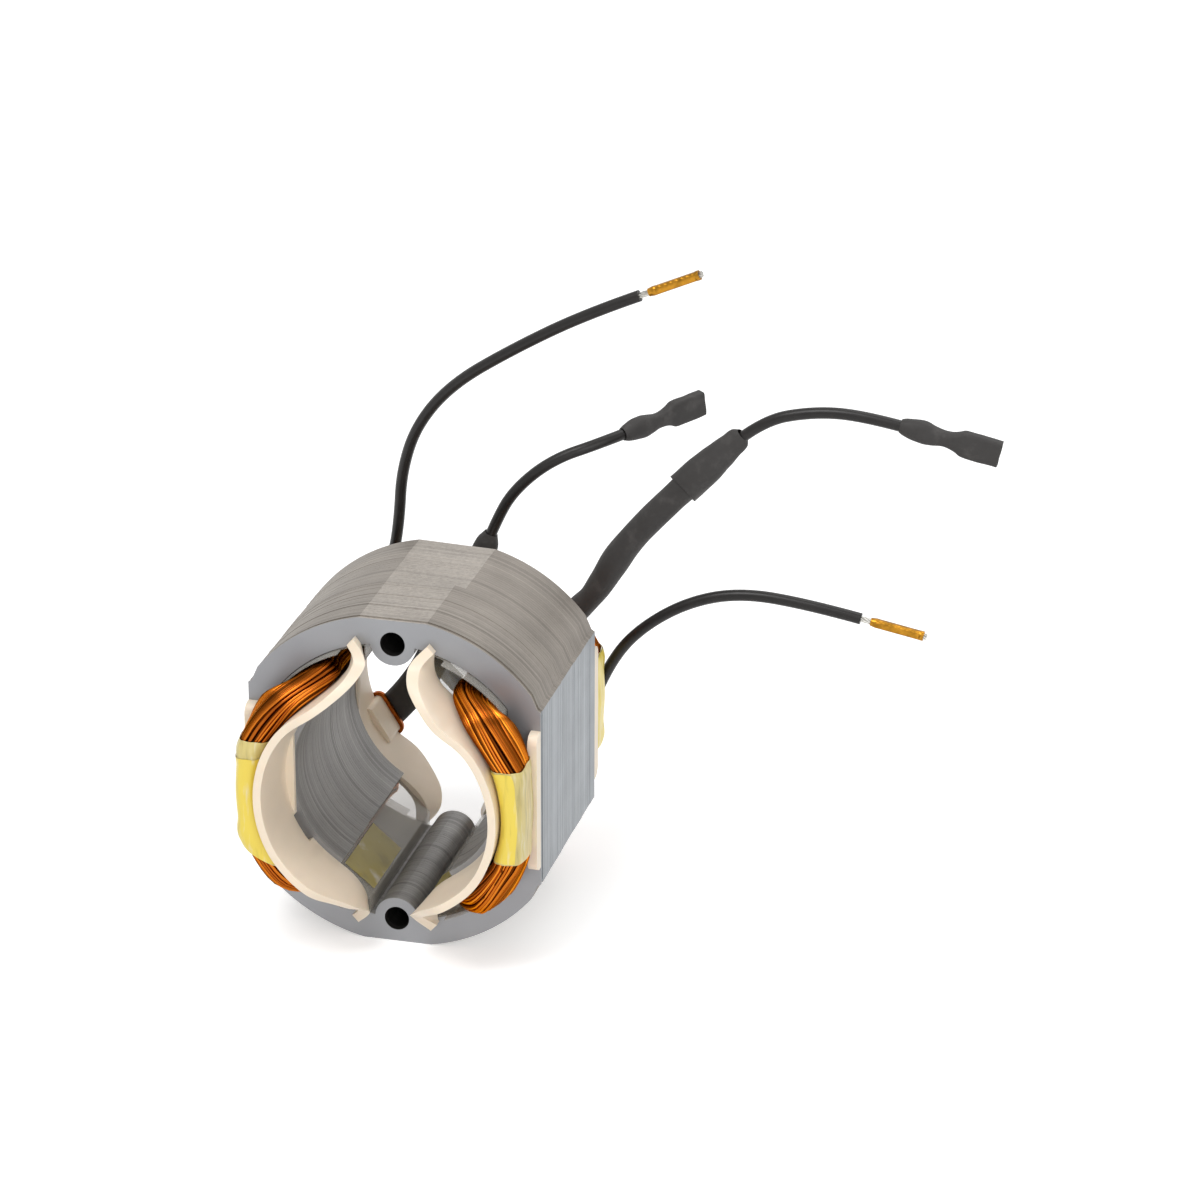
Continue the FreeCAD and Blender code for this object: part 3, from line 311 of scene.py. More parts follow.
def enamelled_copper(shade):
    """Drawn copper in clear enamel: a deep orange metal with sharp yellow lights.

    The tone of each turn is stored with its points. It holds painted shade: darker in the deeper
    layer and on the core, and darkest where the bundle goes into a slot.
    """
    material, tree, shader = new_material(
        "enamelled_copper_wire", Metallic=1.0, Roughness=0.22,
        Specular_Tint=(1.0, 0.6, 0.3, 1.0))
    # The stored tone holds each turn's own tone and the painted shade at the slots, in the deeper
    # layer and on the core
    tone = add_node(tree, "Attribute", attribute_name="turn_tone_and_shade").outputs["Fac"]
    golden = tuple(min(value * factor, 1) for value, factor in zip(shade, (2.2, 3.0, 2.4)))
    add_node(tree, "ValToRGB", {"Fac": tone}, [
        (0.0, shaded(shade, 0.05)), (0.3, shaded(shade, 0.28)), (0.6, shade), (1.0, golden)],
        shader.inputs["Base Color"])
    return material


def post_wire(shade):
    """The same wire where it goes round a post: one even orange tone, a little browner in spots."""
    return clouded("enamelled_copper_on_post", shade, 1.5, [(0.35, 0.6), (0.6, 1)],
                   Metallic=1.0, Roughness=0.3)


def polyester_tape(name, shade, clearness, crease_mm):
    """Thin polyester tape: a bright yellow with paler streaks where it is stretched and creased.

    clearness is how much of what lies below shows through it.
    """
    pale = tuple(value + (0.75 - value) * 0.45 for value in shade)
    material = clouded(name, shade, crease_mm, [(0.28, 0.82), (0.42, 1), (0.58, 1), (0.72, pale)],
                       {"Detail": 4}, stretch=(1, 1, 0.14), relief=(None, 0.12, 0.6),
                       Roughness=0.34, IOR=1.55, Coat_Weight=0.2, Coat_Roughness=0.15)
    tree = material.node_tree
    add_node(tree, "MapRange", {
        "Value": tree.nodes["clouds"], "From Min": 0.3, "From Max": 0.7,
        "To Min": 1 - 1.5 * clearness, "To Max": 1 - clearness / 2},
        to=tree.nodes["Principled BSDF"].inputs["Alpha"])
    return material


def polyester_film(shade):
    """Clear polyester film: it takes the tone of what lies behind, and its edges catch light."""
    material = clouded("clear_polyester_film", shade, 6.0, [(0.35, 0.85), (0.65, 1)],
                       Roughness=0.2, IOR=1.6)
    tree = material.node_tree
    slope = add_node(tree, "LayerWeight", {"Blend": 0.35}).outputs["Facing"]
    add_node(tree, "MapRange", {"Value": slope, "To Min": 0.16, "To Max": 0.6},
             to=tree.nodes["Principled BSDF"].inputs["Alpha"])
    return material


def lead_rubber(shade):
    """Extruded rubber insulation: near black with a soft gloss along its length."""
    return clouded("extruded_rubber_insulation", shade, 3.0, [(0.35, 1), (0.75, 1.7)],
                   {"Detail": 5}, Roughness=0.34, IOR=1.52, Specular_IOR_Level=0.3)


def shrink_tube(shade):
    """Shrunk polyolefin: a dull charcoal, chalky where it is stretched, with a fine grain."""
    return clouded("shrunk_polyolefin_tube", shade, 6.0, [(0.3, 0.8), (0.55, 1), (0.75, 1.8)],
                   {"Detail": 6, "Roughness": 0.6}, relief=(0.5, 0.04, 0.4),
                   Roughness=0.6, IOR=1.5, Specular_IOR_Level=0.3)


def drawn_brass(shade):
    """Drawn and crimped brass: a gold-brown metal with bright lights, browner in places."""
    return clouded("crimped_brass", shade, 1.8, [(0.3, 0.55), (0.65, 1)], {"Detail": 4},
                   Metallic=1.0, Roughness=0.3)


def tinned_copper(shade):
    """Tinned copper strands: a dull silvery metal."""
    return clouded("tinned_copper_strand", shade, 0.8, [(0.3, 0.7), (0.65, 1)],
                   Metallic=1.0, Roughness=0.38)


# Meshes

def linked(name, data):
    """An object in the scene."""
    piece = bpy.data.objects.new(name, data)
    bpy.context.scene.collection.objects.link(piece)
    return piece


def make_object(name, parts, materials, crease=None, node_names=()):
    """A piece from (points in mm, faces, material index) parts, riding on the root body."""
    points, faces, indices = [], [], []
    for part_points, part_faces, index in parts:
        start = len(points)
        points += part_points
        faces += [[start + corner for corner in face] for face in part_faces]
        indices += [index] * len(part_faces)
    mesh = bpy.data.meshes.new(name)
    mesh.from_pydata([point * MM for point in points], [], faces)
    for material in materials:
        mesh.materials.append(material)
    mesh.polygons.foreach_set("material_index", indices)
    mesh.polygons.foreach_set("use_smooth", [True] * len(faces))
    if crease is not None:
        mesh.set_sharp_from_angle(angle=math.radians(crease))
    mesh.update()
    piece = linked(name, mesh)
    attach(piece, "root")
    if node_names:
        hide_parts(*node_names)
    return piece


def skin(rings, closed=True, looped=False):
    """Points and quads of a skin over rings of points. looped joins the last ring to the first."""
    size = len(rings[0])
    faces = []
    for row in range(len(rings) if looped else len(rings) - 1):
        here = row * size
        there = ((row + 1) % len(rings)) * size
        for place in range(size if closed else size - 1):
            after = (place + 1) % size
            faces.append([here + place, here + after, there + after, there + place])
    return [point for ring in rings for point in ring], faces


def squarish(turn, squareness):
    """A point on a closed outline between a circle and a square."""
    return tuple(math.copysign(abs(value) ** (2 / squareness), value)
                 for value in (math.cos(turn), math.sin(turn)))


def bumps(first, second, third):
    """Soft noise between about -1 and 1."""
    return noise.noise(Vector((first, second, third)))


def ramp(value, start, run):
    """A share that rises from 0 to 1 over a run."""
    return min(max((value - start) / run, 0), 1)


def hill(value, middle, reach):
    """A smooth hill of height 1 round a middle."""
    return math.exp(-((value - middle) / reach) ** 2)


def smooth_through(values, places, place):
    """A smooth value through given values at growing places. Values may be vectors."""
    if not places[0] < place < places[-1]:
        return values[0 if place <= places[0] else -1]
    step = bisect.bisect_left(places, place) - 1
    gap = places[step + 1] - places[step]
    share = (place - places[step]) / gap
    before = max(step - 1, 0)
    beyond = min(step + 2, len(places) - 1)
    rise_start = (values[step + 1] - values[before]) * (gap / (places[step + 1] - places[before]))
    rise_end = (values[beyond] - values[step]) * (gap / (places[beyond] - places[step]))
    square = share * share
    cube = square * share
    return (values[step] * (2 * cube - 3 * square + 1) + rise_start * (cube - 2 * square + share)
            + values[step + 1] * (3 * square - 2 * cube) + rise_end * (cube - square))


def path_frames(points, side, across=None, looped=False):
    """Tangent and two directions across a path at each point, turned as little as possible.

    Where across is given, the frames are turned to its directions instead.
    """
    frames = []
    last = len(points) - 1
    for place in range(len(points)):
        before = points[place - 1 if looped else max(place - 1, 0)]
        after = points[(place + 1) % len(points) if looped else min(place + 1, last)]
        tangent = (after - before).normalized()
        side = across[place] if across else side
        side = (side - tangent * side.dot(tangent)).normalized()
        frames.append((tangent, side, tangent.cross(side)))
    return frames


def wire_rings(points, sides, radius, across, looped=False):
    """Rings of a round wire along a path, turned to the directions across."""
    turns = [2 * math.pi * step / sides for step in range(sides)]
    return [[point + (side * math.cos(turn) + other * math.sin(turn)) * radius for turn in turns]
            for point, (tangent, side, other) in zip(
                points, path_frames(points, None, across, looped))]


# Signs on X, Y and Z of the half turns that carry a part from the front right to its places
HALF_TURNS = {"front_right": (1, 1, 1), "front_left": (-1, 1, -1),
              "rear_left": (-1, -1, 1), "rear_right": (1, -1, -1)}


def turned(points, signs):
    """Points after a half turn or a mirroring, whose signs on X, Y and Z are given."""
    return [Vector((point.x * signs[0], point.y * signs[1], point.z * signs[2]))
            for point in points]


# Lamination stack

# Places of the stack's materials
SHEET_FACE, CUT_EDGE, GROUND_FLAT, SIDE_FACE, BORE_EDGE, HOLE_EDGE = range(6)

YOKE_ARC_POINTS = 19
HOLE_POINTS = 28
# The share of the depth from which the top flat is wider, and by how many degrees
WIDE_FLAT_START = 0.48
WIDE_FLAT_TURN = 3.6
# The first sheet's burr stands over the next two, which are drawn smaller
BURRED_SHEETS = (1, 2)
BURR_INSET = 0.993


def mirrored_outline(quarter):
    """A whole outline in X and Z from its first quarter, listed from +Z round to +X."""
    back = quarter[::-1]
    return (quarter + [(x, -z) for x, z in back] + [(-x, -z) for x, z in quarter]
            + [(-x, z) for x, z in back])


def arc(radius, height, start, end, count):
    """Points on an arc about (0, height), at angles from +Z in degrees."""
    turns = [math.radians(start + (end - start) * step / (count - 1)) for step in range(count)]
    return [(radius * math.sin(turn), height + radius * math.cos(turn)) for turn in turns]


def yoke_outline(wide_flat):
    """The yoke's outline. Where wide_flat is set, the top flat runs on to the right."""
    flat_turn = math.degrees(math.acos(CROWN_FLAT / YOKE_RADIUS))
    corner_turn = math.degrees(math.asin(CORNER / YOKE_RADIUS))
    outline = mirrored_outline(
        arc(YOKE_RADIUS, 0, flat_turn, corner_turn, YOKE_ARC_POINTS)
        + [(SIDE_FLAT - SIDE_STEP, SIDE_HALF_HEIGHT + SIDE_STEP_RISE),
           (SIDE_FLAT, SIDE_HALF_HEIGHT)])
    if wide_flat:
        outline[:YOKE_ARC_POINTS] = arc(YOKE_RADIUS, 0, flat_turn + WIDE_FLAT_TURN, corner_turn,
                                        YOKE_ARC_POINTS)
    return outline


def window_outline():
    """The opening for the bore and the four slots."""
    flank = BOLT_OFFSET - BOSS_RADIUS ** 2 / (2 * BOLT_OFFSET)
    flank_turn = math.degrees(math.acos(flank / SLOT_RADIUS))
    boss_turn = 180 - math.degrees(math.acos((BOLT_OFFSET - flank) / BOSS_RADIUS))
    tip_turn = 90 - POLE_HALF_ANGLE
    root_turn = math.degrees(math.asin(SLOT_ROOT / SLOT_RADIUS))
    return mirrored_outline(
        arc(BOSS_RADIUS, BOLT_OFFSET, 180, boss_turn, 9)
        + arc(SLOT_RADIUS, 0, flank_turn, root_turn, 14)[1:]
        + [(SLOT_ROOT, NECK_HALF_HEIGHT)]
        + arc(BORE_RADIUS + POLE_TIP, 0, tip_turn, tip_turn, 2)[:1]
        + arc(BORE_RADIUS, 0, tip_turn, 88.5, 20))


def stack_parts(sheet, misfit):
    """The pressed sheets, each set a little beside its neighbours."""
    drawn = random.Random(11)
    moved_share = 0.2
    count = round(2 * STACK_HALF / sheet)
    window = window_outline()
    holes = [arc(BOLT_RADIUS, height, 0, 360 * (HOLE_POINTS - 1) / HOLE_POINTS, HOLE_POINTS)
             for height in (BOLT_OFFSET, -BOLT_OFFSET)]
    rings = []
    shift_x = shift_z = lean = 0.0
    for index in range(count):
        if drawn.random() < moved_share:
            shift_x = drawn.uniform(-1, 1) * misfit
            shift_z = drawn.uniform(-1, 1) * misfit
            lean = drawn.uniform(-1, 1) * misfit / YOKE_RADIUS
        here_x = shift_x + drawn.uniform(-0.5, 0.5) * misfit
        here_z = shift_z + drawn.uniform(-0.5, 0.5) * misfit
        loops = [yoke_outline(index > count * WIDE_FLAT_START), window, *holes]
        if index in BURRED_SHEETS:
            loops[0] = [(x * BURR_INSET, z * BURR_INSET) for x, z in loops[0]]
        for end in (0, 1):
            y = -STACK_HALF + (index + end) * sheet
            rings.append([[Vector((x + here_x + lean * z, y, z + here_z - lean * x))
                           for x, z in loop] for loop in loops])
    parts = []
    for place, rest in enumerate((CUT_EDGE, BORE_EDGE, HOLE_EDGE, HOLE_EDGE)):
        loops = [ring[place] for ring in rings]
        size = len(loops[0])
        points, faces = skin(loops)
        # The quad that ends each quarter of the outline lies on one of the four flats
        flats = {size - 1: GROUND_FLAT, size // 2 - 1: GROUND_FLAT, size // 4 - 1: SIDE_FACE,
                 3 * size // 4 - 1: SIDE_FACE} if place == 0 else {}
        for index in {rest, *flats.values()}:
            parts.append((points, [face for number, face in enumerate(faces)
                                   if flats.get(number % size, rest) == index], index))
    for ring, order in ((rings[0], 1), (rings[-1], -1)):
        flat = [[Vector((point.x, point.z, 0)) for point in loop] for loop in ring]
        parts.append(([point for loop in ring for point in loop],
                      [list(face)[::order] for face in tessellate_polygon(flat)], SHEET_FACE))
    return parts


# Bundles of magnet wire

# Gaps and heights of the bundles, in millimetres
FILM_SPACE = 0.85
CLEARANCE = 0.2
TAB_GAP = 0.3
END_MIDDLE = 8.2
END_HALF_HEIGHT = 6.2
SHOULDER_MIDDLE = 7.6

# Points on a section's outline, and how nearly square it is
OUTLINE_POINTS = 240
SECTION_SQUARENESS = 3.0


def polar(radius, degrees):
    """A point in the plane of the laminations."""
    turn = math.radians(degrees)
    return Vector((radius * math.cos(turn), 0, radius * math.sin(turn)))


def slot_frame():
    """Centre, directions and half sizes of the bundle in the upper right slot."""
    tip = polar(BORE_RADIUS + POLE_TIP, POLE_HALF_ANGLE)
    along = (Vector((SLOT_ROOT, 0, NECK_HALF_HEIGHT)) - tip).normalized()
    across = Vector((-along.z, 0, along.x))
    low = BORE_RADIUS + WALL_FOOT_GAP + WALL_THICKNESS + CLEARANCE
    high = SLOT_RADIUS - FILM_SPACE - CLEARANCE
    middle = (low + high) / 2
    start = tip.dot(along) - 0.7
    stop = (SLOT_ROOT - FILM_SPACE - across.x * middle) / along.x - 0.8
    centre = across * middle + along * ((start + stop) / 2)
    return centre, across, along, (high - low) / 2, (stop - start) / 2


def end_frame(rise):
    """The same for the end winding at a height above the middle of the pole."""
    wall_out = BORE_RADIUS + WALL_RIM_GAP + WALL_THICKNESS
    near = math.sqrt(wall_out ** 2 - rise ** 2) + 0.15
    far = SIDE_FLAT - 0.7 - 0.6 * abs(rise) / TAPE_HALF_WIDTH
    centre = Vector(((near + far) / 2, -STACK_HALF - END_MIDDLE, rise))
    return centre, Vector((1, 0, 0)), Vector((0, 1, 0)), (far - near) / 2, END_HALF_HEIGHT


def shoulder_frame():
    """The same where the bundle turns down from the slot."""
    slot_centre, slot_across, slot_along, slot_a, slot_b = slot_frame()
    end_centre, end_across, end_along, end_a, end_b = end_frame(TAPE_HALF_WIDTH)
    centre = Vector(((slot_centre.x + end_centre.x) / 2 - 0.2, -STACK_HALF - SHOULDER_MIDDLE,
                     slot_centre.z - 2.8))
    along = (slot_along + end_along * 1.2).normalized()
    across = (slot_across + end_across * 0.9).normalized()
    across = (across - along * across.dot(along)).normalized()
    return centre, across, along, (slot_a + end_a) / 2 + 0.5, (slot_b + end_b) / 2 - 0.1


def moved_frame(section, signs, new_y=None):
    """A section's frame after a mirroring or half turn, or slid along the slot."""
    centre, across, along = turned(section[:3], signs)
    if new_y is not None:
        centre.y = new_y
    return centre, across, along, *section[3:]


def winding_sections(spread):
    """Sections of the right-hand bundle once round its pole, from the upper slot to the front.

    spread is how much further the bundle fills its lower slot.
    """
    slot = slot_frame()
    upper = [moved_frame(slot, (1, 1, 1), -STACK_HALF + 4),
             moved_frame(slot, (1, 1, 1), -STACK_HALF - 3.2),
             shoulder_frame(), end_frame(TAPE_HALF_WIDTH), end_frame(6.2)]
    lower = [moved_frame(section, (1, 1, -1)) for section in reversed(upper)]
    for place in (-2, -1):
        centre, across, along, half_across, half_along = lower[place]
        lower[place] = (centre - along * spread / 2, across, along, half_across,
                        half_along + spread / 2)
    front = upper + [end_frame(0)] + lower
    return front + [moved_frame(section, (1, -1, 1)) for section in reversed(front)]


def keep_off_tab(point, reach):
    """Move a point out of the space of the outer tab, the shorter way."""
    height = abs(point.y) - STACK_HALF
    inside = SIDE_FLAT - TAB_THICKNESS - TAB_GAP - reach
    top = TAB_HEIGHT + TAB_GAP + reach
    if abs(point.z) > TAB_HALF_HEIGHT + 0.5 or abs(point.x) < inside or not 0 <= height <= top:
        return point
    if abs(point.x) - inside < top - height:
        return Vector((math.copysign(inside, point.x), point.y, point.z))
    return Vector((point.x, math.copysign(STACK_HALF + top, point.y), point.z))


@functools.lru_cache(maxsize=None)
def even_outline(half_across, half_along):
    """A section's rounded outline as points at even distances, the last one like the first."""
    fine_steps = 6 * OUTLINE_POINTS
    fine = [squarish(2 * math.pi * step / fine_steps, SECTION_SQUARENESS)
            for step in range(fine_steps + 1)]
    fine = [(first * half_across, second * half_along) for first, second in fine]
    marks = [0.0]
    for before, after in zip(fine, fine[1:]):
        marks.append(marks[-1] + math.dist(before, after))
    places = [bisect.bisect_left(marks, marks[-1] * step / OUTLINE_POINTS)
              for step in range(OUTLINE_POINTS)]
    return [fine[place] for place in places] + [fine[0]]


def section_point(section, share, grow):
    """A point at a share of the way round a section's outline, grown by a distance."""
    centre, across, along, half_across, half_along = section
    place = share % 1 * OUTLINE_POINTS
    outline = even_outline(half_across, half_along)
    before, after = outline[int(place)], outline[int(place) + 1]
    first, second = (low + (high - low) * (place % 1) for low, high in zip(before, after))
    return (centre + across * (first * (1 + grow / half_across))
            + along * (second * (1 + grow / half_along)))


def whole_bundle(spread=0.0):
    """The bundle's sections, their distances round the pole, and the whole way round."""
    sections = winding_sections(spread)
    places = [0.0]
    for before, after in zip(sections, sections[1:]):
        places.append(places[-1] + (after[0] - before[0]).length)
    return sections, places, places[-1] + (sections[0][0] - sections[-1][0]).length


def bundle_point(bundle, place, share, grow, reach):
    """A point on the bundle's skin at a distance round the pole, clear of the outer tab."""
    sections, places, whole = bundle
    place = place % whole
    step = bisect.bisect_right(places, place) - 1
    marks = []
    corners = []
    for index in range(step - 1, step + 3):
        lap, local = divmod(index, len(sections))
        marks.append(places[local] + lap * whole)
        corners.append(section_point(sections[local], share, grow))
    return keep_off_tab(smooth_through(corners, marks, place), reach)


def bundle_stations(bundle):
    """Distances round the pole, close together in the end windings and far apart in the slots."""
    sections, places, whole = bundle
    stations = []
    for start, end in zip(places, places[1:] + [whole]):
        steps = 2 if end - start > 30 else max(2, round((end - start) / 1.5))
        stations += [start + (end - start) * step / steps for step in range(steps)]
    return stations


def winding_parts(wire, signs, spread, seed):
    """A coil as single turns of wire over a core painted dark as the shade between them, with the
    tone of each of its points.
    """
    drawn = random.Random(seed)
    bundle = whole_bundle(spread)
    whole = bundle[2]
    stations = bundle_stations(bundle)
    parts = []
    tones = []
    radius = wire / 2
    sides = 8
    core_points = 28
    stray_share = 0.1
    dimmest = 0.15
    # Depth below the bundle's skin, number of turns and tone of each layer; the deeper layer's
    # darker tone is painted shade
    for depth, count, shade in ((radius * 0.9, 46, 0.54), (radius * 2.3, 40, 0.35)):
        for number in range(count):
            start = (number + drawn.uniform(-0.3, 0.3)) / count
            phase = drawn.uniform(0, 2 * math.pi)
            stray = drawn.random() < stray_share
            wander = drawn.gauss(0, 0.02 if stray else 0.004)
            lift = drawn.uniform(-0.08, 0.08) + (0.2 if stray else 0.0)
            tone = max(shade + drawn.gauss(0, 0.17), dimmest)
            path = []
            for station in stations:
                turn = 2 * math.pi * station / whole
                # Neighbouring turns drift together, so they cross in groups and at small angles
                drift = 0.05 * bumps(number * 6.0 / count, 3.2 * turn, seed)
                path.append(bundle_point(
                    bundle, station, start + drift + wander * math.sin(2 * turn + phase),
                    lift + 0.06 * math.sin(5 * turn + phase) - depth, radius))
            heights = [abs(point.y) - STACK_HALF for point in path]
            across = [Vector((0.3, 0.2, 1)) if abs(height - 8) > 9 else Vector((1, 0, 0))
                      for height in heights]
            rings = wire_rings(turned(path, signs), sides, radius, turned(across, signs),
                               looped=True)
            parts.append((*skin(rings, looped=True), 0))
            for height in heights:
                # Painted shade: darker where the bundle goes into the slot
                tones += [tone * (0.65 + 0.35 * ramp(height, 0.5, 4.5))] * sides
    core = [[bundle_point(bundle, station, step / core_points, -radius * 3.6, 0.2)
             for step in range(core_points)] for station in stations]
    parts.append((*skin([turned(ring, signs) for ring in core], looped=True), 0))
    # The core is painted near black: painted shade seen between the turns
    tones += [0.08] * (core_points * len(core))
    return parts, tones


# Tape wraps

# Edges of each wrap, from the middle of the pole along the winding before its half turn, and
# how much shorter it is on the outside. The last two give the part of the way round that the
# second layer covers.
TAPE_WRAPS = {
    "front_right": (-10.3, 12.4, 0.0, 0.3, 0.8),
    "front_left": (-13.1, 20.6, 8.6, 0.0, 1.0),
    "rear_left": (-12.4, 12.4, 0.0, 0.0, 1.0),
    "rear_right": (-12.4, 12.4, 0.0, 0.0, 1.0),
}


def tape_parts(wrap, signs, grow, seed):
    """Two layers of tape round the middle of an end winding. The lower one is see-through."""
    low, high, slant, cover_start, cover_end = TAPE_WRAPS[wrap]
    bundle = whole_bundle()
    middle = bundle[1][5]
    drawn = random.Random(seed)
    parts = []
    rows, columns = 64, 96
    # How far the second layer's edge lies behind the first one's
    behind = 4.3 if slant else 0.4
    for layer, (start, end, first_edge) in enumerate((
            (0, 1, low), (cover_start, cover_end, low + behind))):
        shift = drawn.uniform(0, 50)
        closed = end - start == 1
        rings = []
        for row in range(rows + 1):
            ring = []
            for column in range(columns if closed else columns + 1):
                share = start + (end - start) * column / columns
                turn = 2 * math.pi * share
                first, second = math.cos(turn), math.sin(turn)
                last_edge = high - 0.3 * layer - slant * (1 + first) / 2
                ragged = 0.3 * bumps(first * 2.5, second * 2.5, shift)
                rise = first_edge + (last_edge - first_edge) * row / rows
                rise += ragged * (2 * row / rows - 1)
                wrinkle = bumps(first * 4, second * 4, rise * 0.08 + shift)
                crease = bumps(turn * 9.0, rise * 0.12, shift + 9)
                lift = grow * (1 + layer * 0.6) + 0.1 * wrinkle + 0.04 * crease
                ring.append(bundle_point(bundle, middle - rise * 1.03, share, lift, 0.02))
            rings.append(turned(ring, signs))
        parts.append((*skin(rings, closed=closed), layer))
    return parts


def patch_parts(signs, tip_inset, yoke_inset, run, seed):
    """A strip of tape on the film at a slot's mouth, slightly wavy, with its edges lifting."""
    tip = polar(BORE_RADIUS + POLE_TIP, POLE_HALF_ANGLE)
    along = FILM_CORNER - tip
    margin = 0.85
    width = along.length - 2 * margin
    along.normalize()
    inward = Vector((along.z, 0, -along.x))
    if inward.dot(tip) > 0:
        inward = -inward
    low = tip + along * margin - inward * 0.15
    rows, columns = 14, 20
    rings = []
    for row in range(rows + 1):
        share = row / rows
        inset = tip_inset + (yoke_inset - tip_inset) * share
        ring = []
        for column in range(columns + 1):
            step = column / columns
            edge = max(abs(2 * share - 1), abs(2 * step - 1)) ** 6
            wave = bumps(row * 0.35, column * 0.3, seed)
            lift = 0.12 + 0.24 * edge * abs(wave) + 0.06 * wave
            point = low + along * (width * share) + inward * lift
            ring.append(point + Vector((0, inset - STACK_HALF + run * step, 0)))
        rings.append(turned(ring, signs))
    return [(*skin(rings, closed=False), 0)]


# Cords

def cord_curve(name, route, diameter, material):
    """A lead along a route of given points, as one smooth curve."""
    data = bpy.data.curves.new(name, "CURVE")
    data.dimensions = "3D"
    data.resolution_u = 16
    spline = data.splines.new("NURBS")
    spline.points.add(len(route) - 1)
    for point, place in zip(spline.points, route):
        point.co = (*place, 1)
    spline.order_u = 3
    spline.use_endpoint_u = True
    data.bevel_depth = diameter / 2
    data.bevel_resolution = 6
    data.use_fill_caps = True
    piece = linked(name, data)
    if material is not None:
        data.materials.append(material)
        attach(piece, "root")
    return piece


def smooth_line(route, step):
    """Points of a route's smooth curve at about equal steps, in millimetres."""
    guide = cord_curve("guide", route, 0, None)
    bpy.context.view_layer.update()
    mesh = bpy.data.meshes.new_from_object(guide)
    line = [vertex.co / MM for vertex in mesh.vertices]
    bpy.data.meshes.remove(mesh)
    data = guide.data
    bpy.data.objects.remove(guide)
    bpy.data.curves.remove(data)
    lengths = [0.0]
    for before, after in zip(line, line[1:]):
        lengths.append(lengths[-1] + (after - before).length)
    count = max(4, round(lengths[-1] / step))
    points = []
    segment = 0
    for number in range(count + 1):
        wanted = lengths[-1] * number / count
        while segment < len(line) - 2 and lengths[segment + 1] < wanted:
            segment += 1
        gap = lengths[segment + 1] - lengths[segment]
        share = (wanted - lengths[segment]) / gap if gap > 0 else 0
        points.append(line[segment].lerp(line[segment + 1], min(share, 1)))
    return points


def straight_line(start, direction, run, steps):
    """Points at equal steps along a straight run."""
    return [start + direction * (run * step / steps) for step in range(steps + 1)]


def upright_frame(direction):
    """The directions across a straight run, the first as upright as it can be."""
    wide = (Vector((0, 0, 1)) - direction * direction.z).normalized()
    return wide, direction.cross(wide)


def tube_rings(line, first_side, around, outline):
    """Rings round a line. outline gives two offsets and a slide at a share and an angle."""
    rings = []
    turns = [2 * math.pi * number / around for number in range(around)]
    for place, (tangent, side, other) in enumerate(path_frames(line, first_side)):
        offsets = [outline(place / (len(line) - 1), turn) for turn in turns]
        rings.append([line[place] + side * first + other * second + tangent * slide
                      for first, second, slide in offsets])
    return rings


def drawn_in(ring, centre, share, shift=Vector()):
    """A ring made smaller about a centre and moved, for the inside of a mouth."""
    return [centre + (point - centre) * share + shift for point in ring]


def strand_parts(start, direction, run, radius):
    """Seven tinned strands with a slow twist, the outer ones round a middle one."""
    wide, deep = upright_frame(direction)
    strand = radius * 0.36
    twist_run = 9.0
    steps = 26
    sides = 8
    parts = []
    for number in range(7):
        out = 0 if number == 6 else radius - strand
        path = []
        for step, point in enumerate(straight_line(start, direction, run, steps)):
            turn = 2 * math.pi * (number / 6 + run * step / steps / twist_run)
            path.append(point + wide * (out * math.cos(turn)) + deep * (out * math.sin(turn)))
        points, faces = skin(wire_rings(path, sides, strand, [wide] * len(path)))
        ends = [list(range(sides))[::-1], list(range(sides * steps, sides * (steps + 1)))]
        parts.append((points, faces + ends, 0))
    return parts


def ferrule_parts(start, direction, run, radius):
    """A crimped ferrule: a flared start, flattened sides and a row of teeth marks along them."""
    tooth_pitch = 1.45

    def outline(share, turn):
        place = share * run
        turn += math.pi / 8
        flare = 0.22 * hill(place, 0, 0.9)
        pressed = ramp(place, 1.2, 0.8) * ramp(run - place, 0.7, 0.5)
        tooth = 0.5 - 0.5 * math.cos(2 * math.pi * place / tooth_pitch)
        groove = 0.16 * pressed * (0.35 + 0.65 * tooth) * hill(math.sin(turn - 0.9), 0, 0.28)
        scale = radius * (1 - 0.1 * pressed) - groove * 0.8 - flare * 0.9
        first, second = squarish(turn, 2 + 1.6 * pressed)
        return first * scale, second * scale * (1 - 0.12 * pressed), 0

    rings = tube_rings(straight_line(start, direction, run, 90), upright_frame(direction)[0], 32,
                       outline)
    end = start + direction * run
    inside = [drawn_in(rings[-1], end, 0.72, direction * shift) for shift in (0, -2)]
    return [(*skin([rings[0]] + rings + inside), 0)]


TERMINAL_STATIONS = [
    # share of the length, half width, half depth, squareness, shift across
    (0.00, 1.62, 1.60, 2.0, 0.0),
    (0.04, 2.05, 1.98, 2.1, 0.0),
    (0.14, 2.55, 2.25, 2.4, 0.05),
    (0.25, 2.70, 2.30, 2.6, 0.0),
    (0.33, 2.35, 2.00, 2.7, -0.1),
    (0.42, 1.90, 1.72, 2.8, -0.05),
    (0.50, 1.95, 1.62, 3.0, 0.0),
    (0.57, 2.45, 1.60, 3.6, 0.05),
    (0.63, 3.10, 1.62, 4.6, 0.05),
    (0.80, 3.20, 1.60, 5.0, 0.0),
    (1.00, 3.15, 1.55, 5.0, 0.0),
]


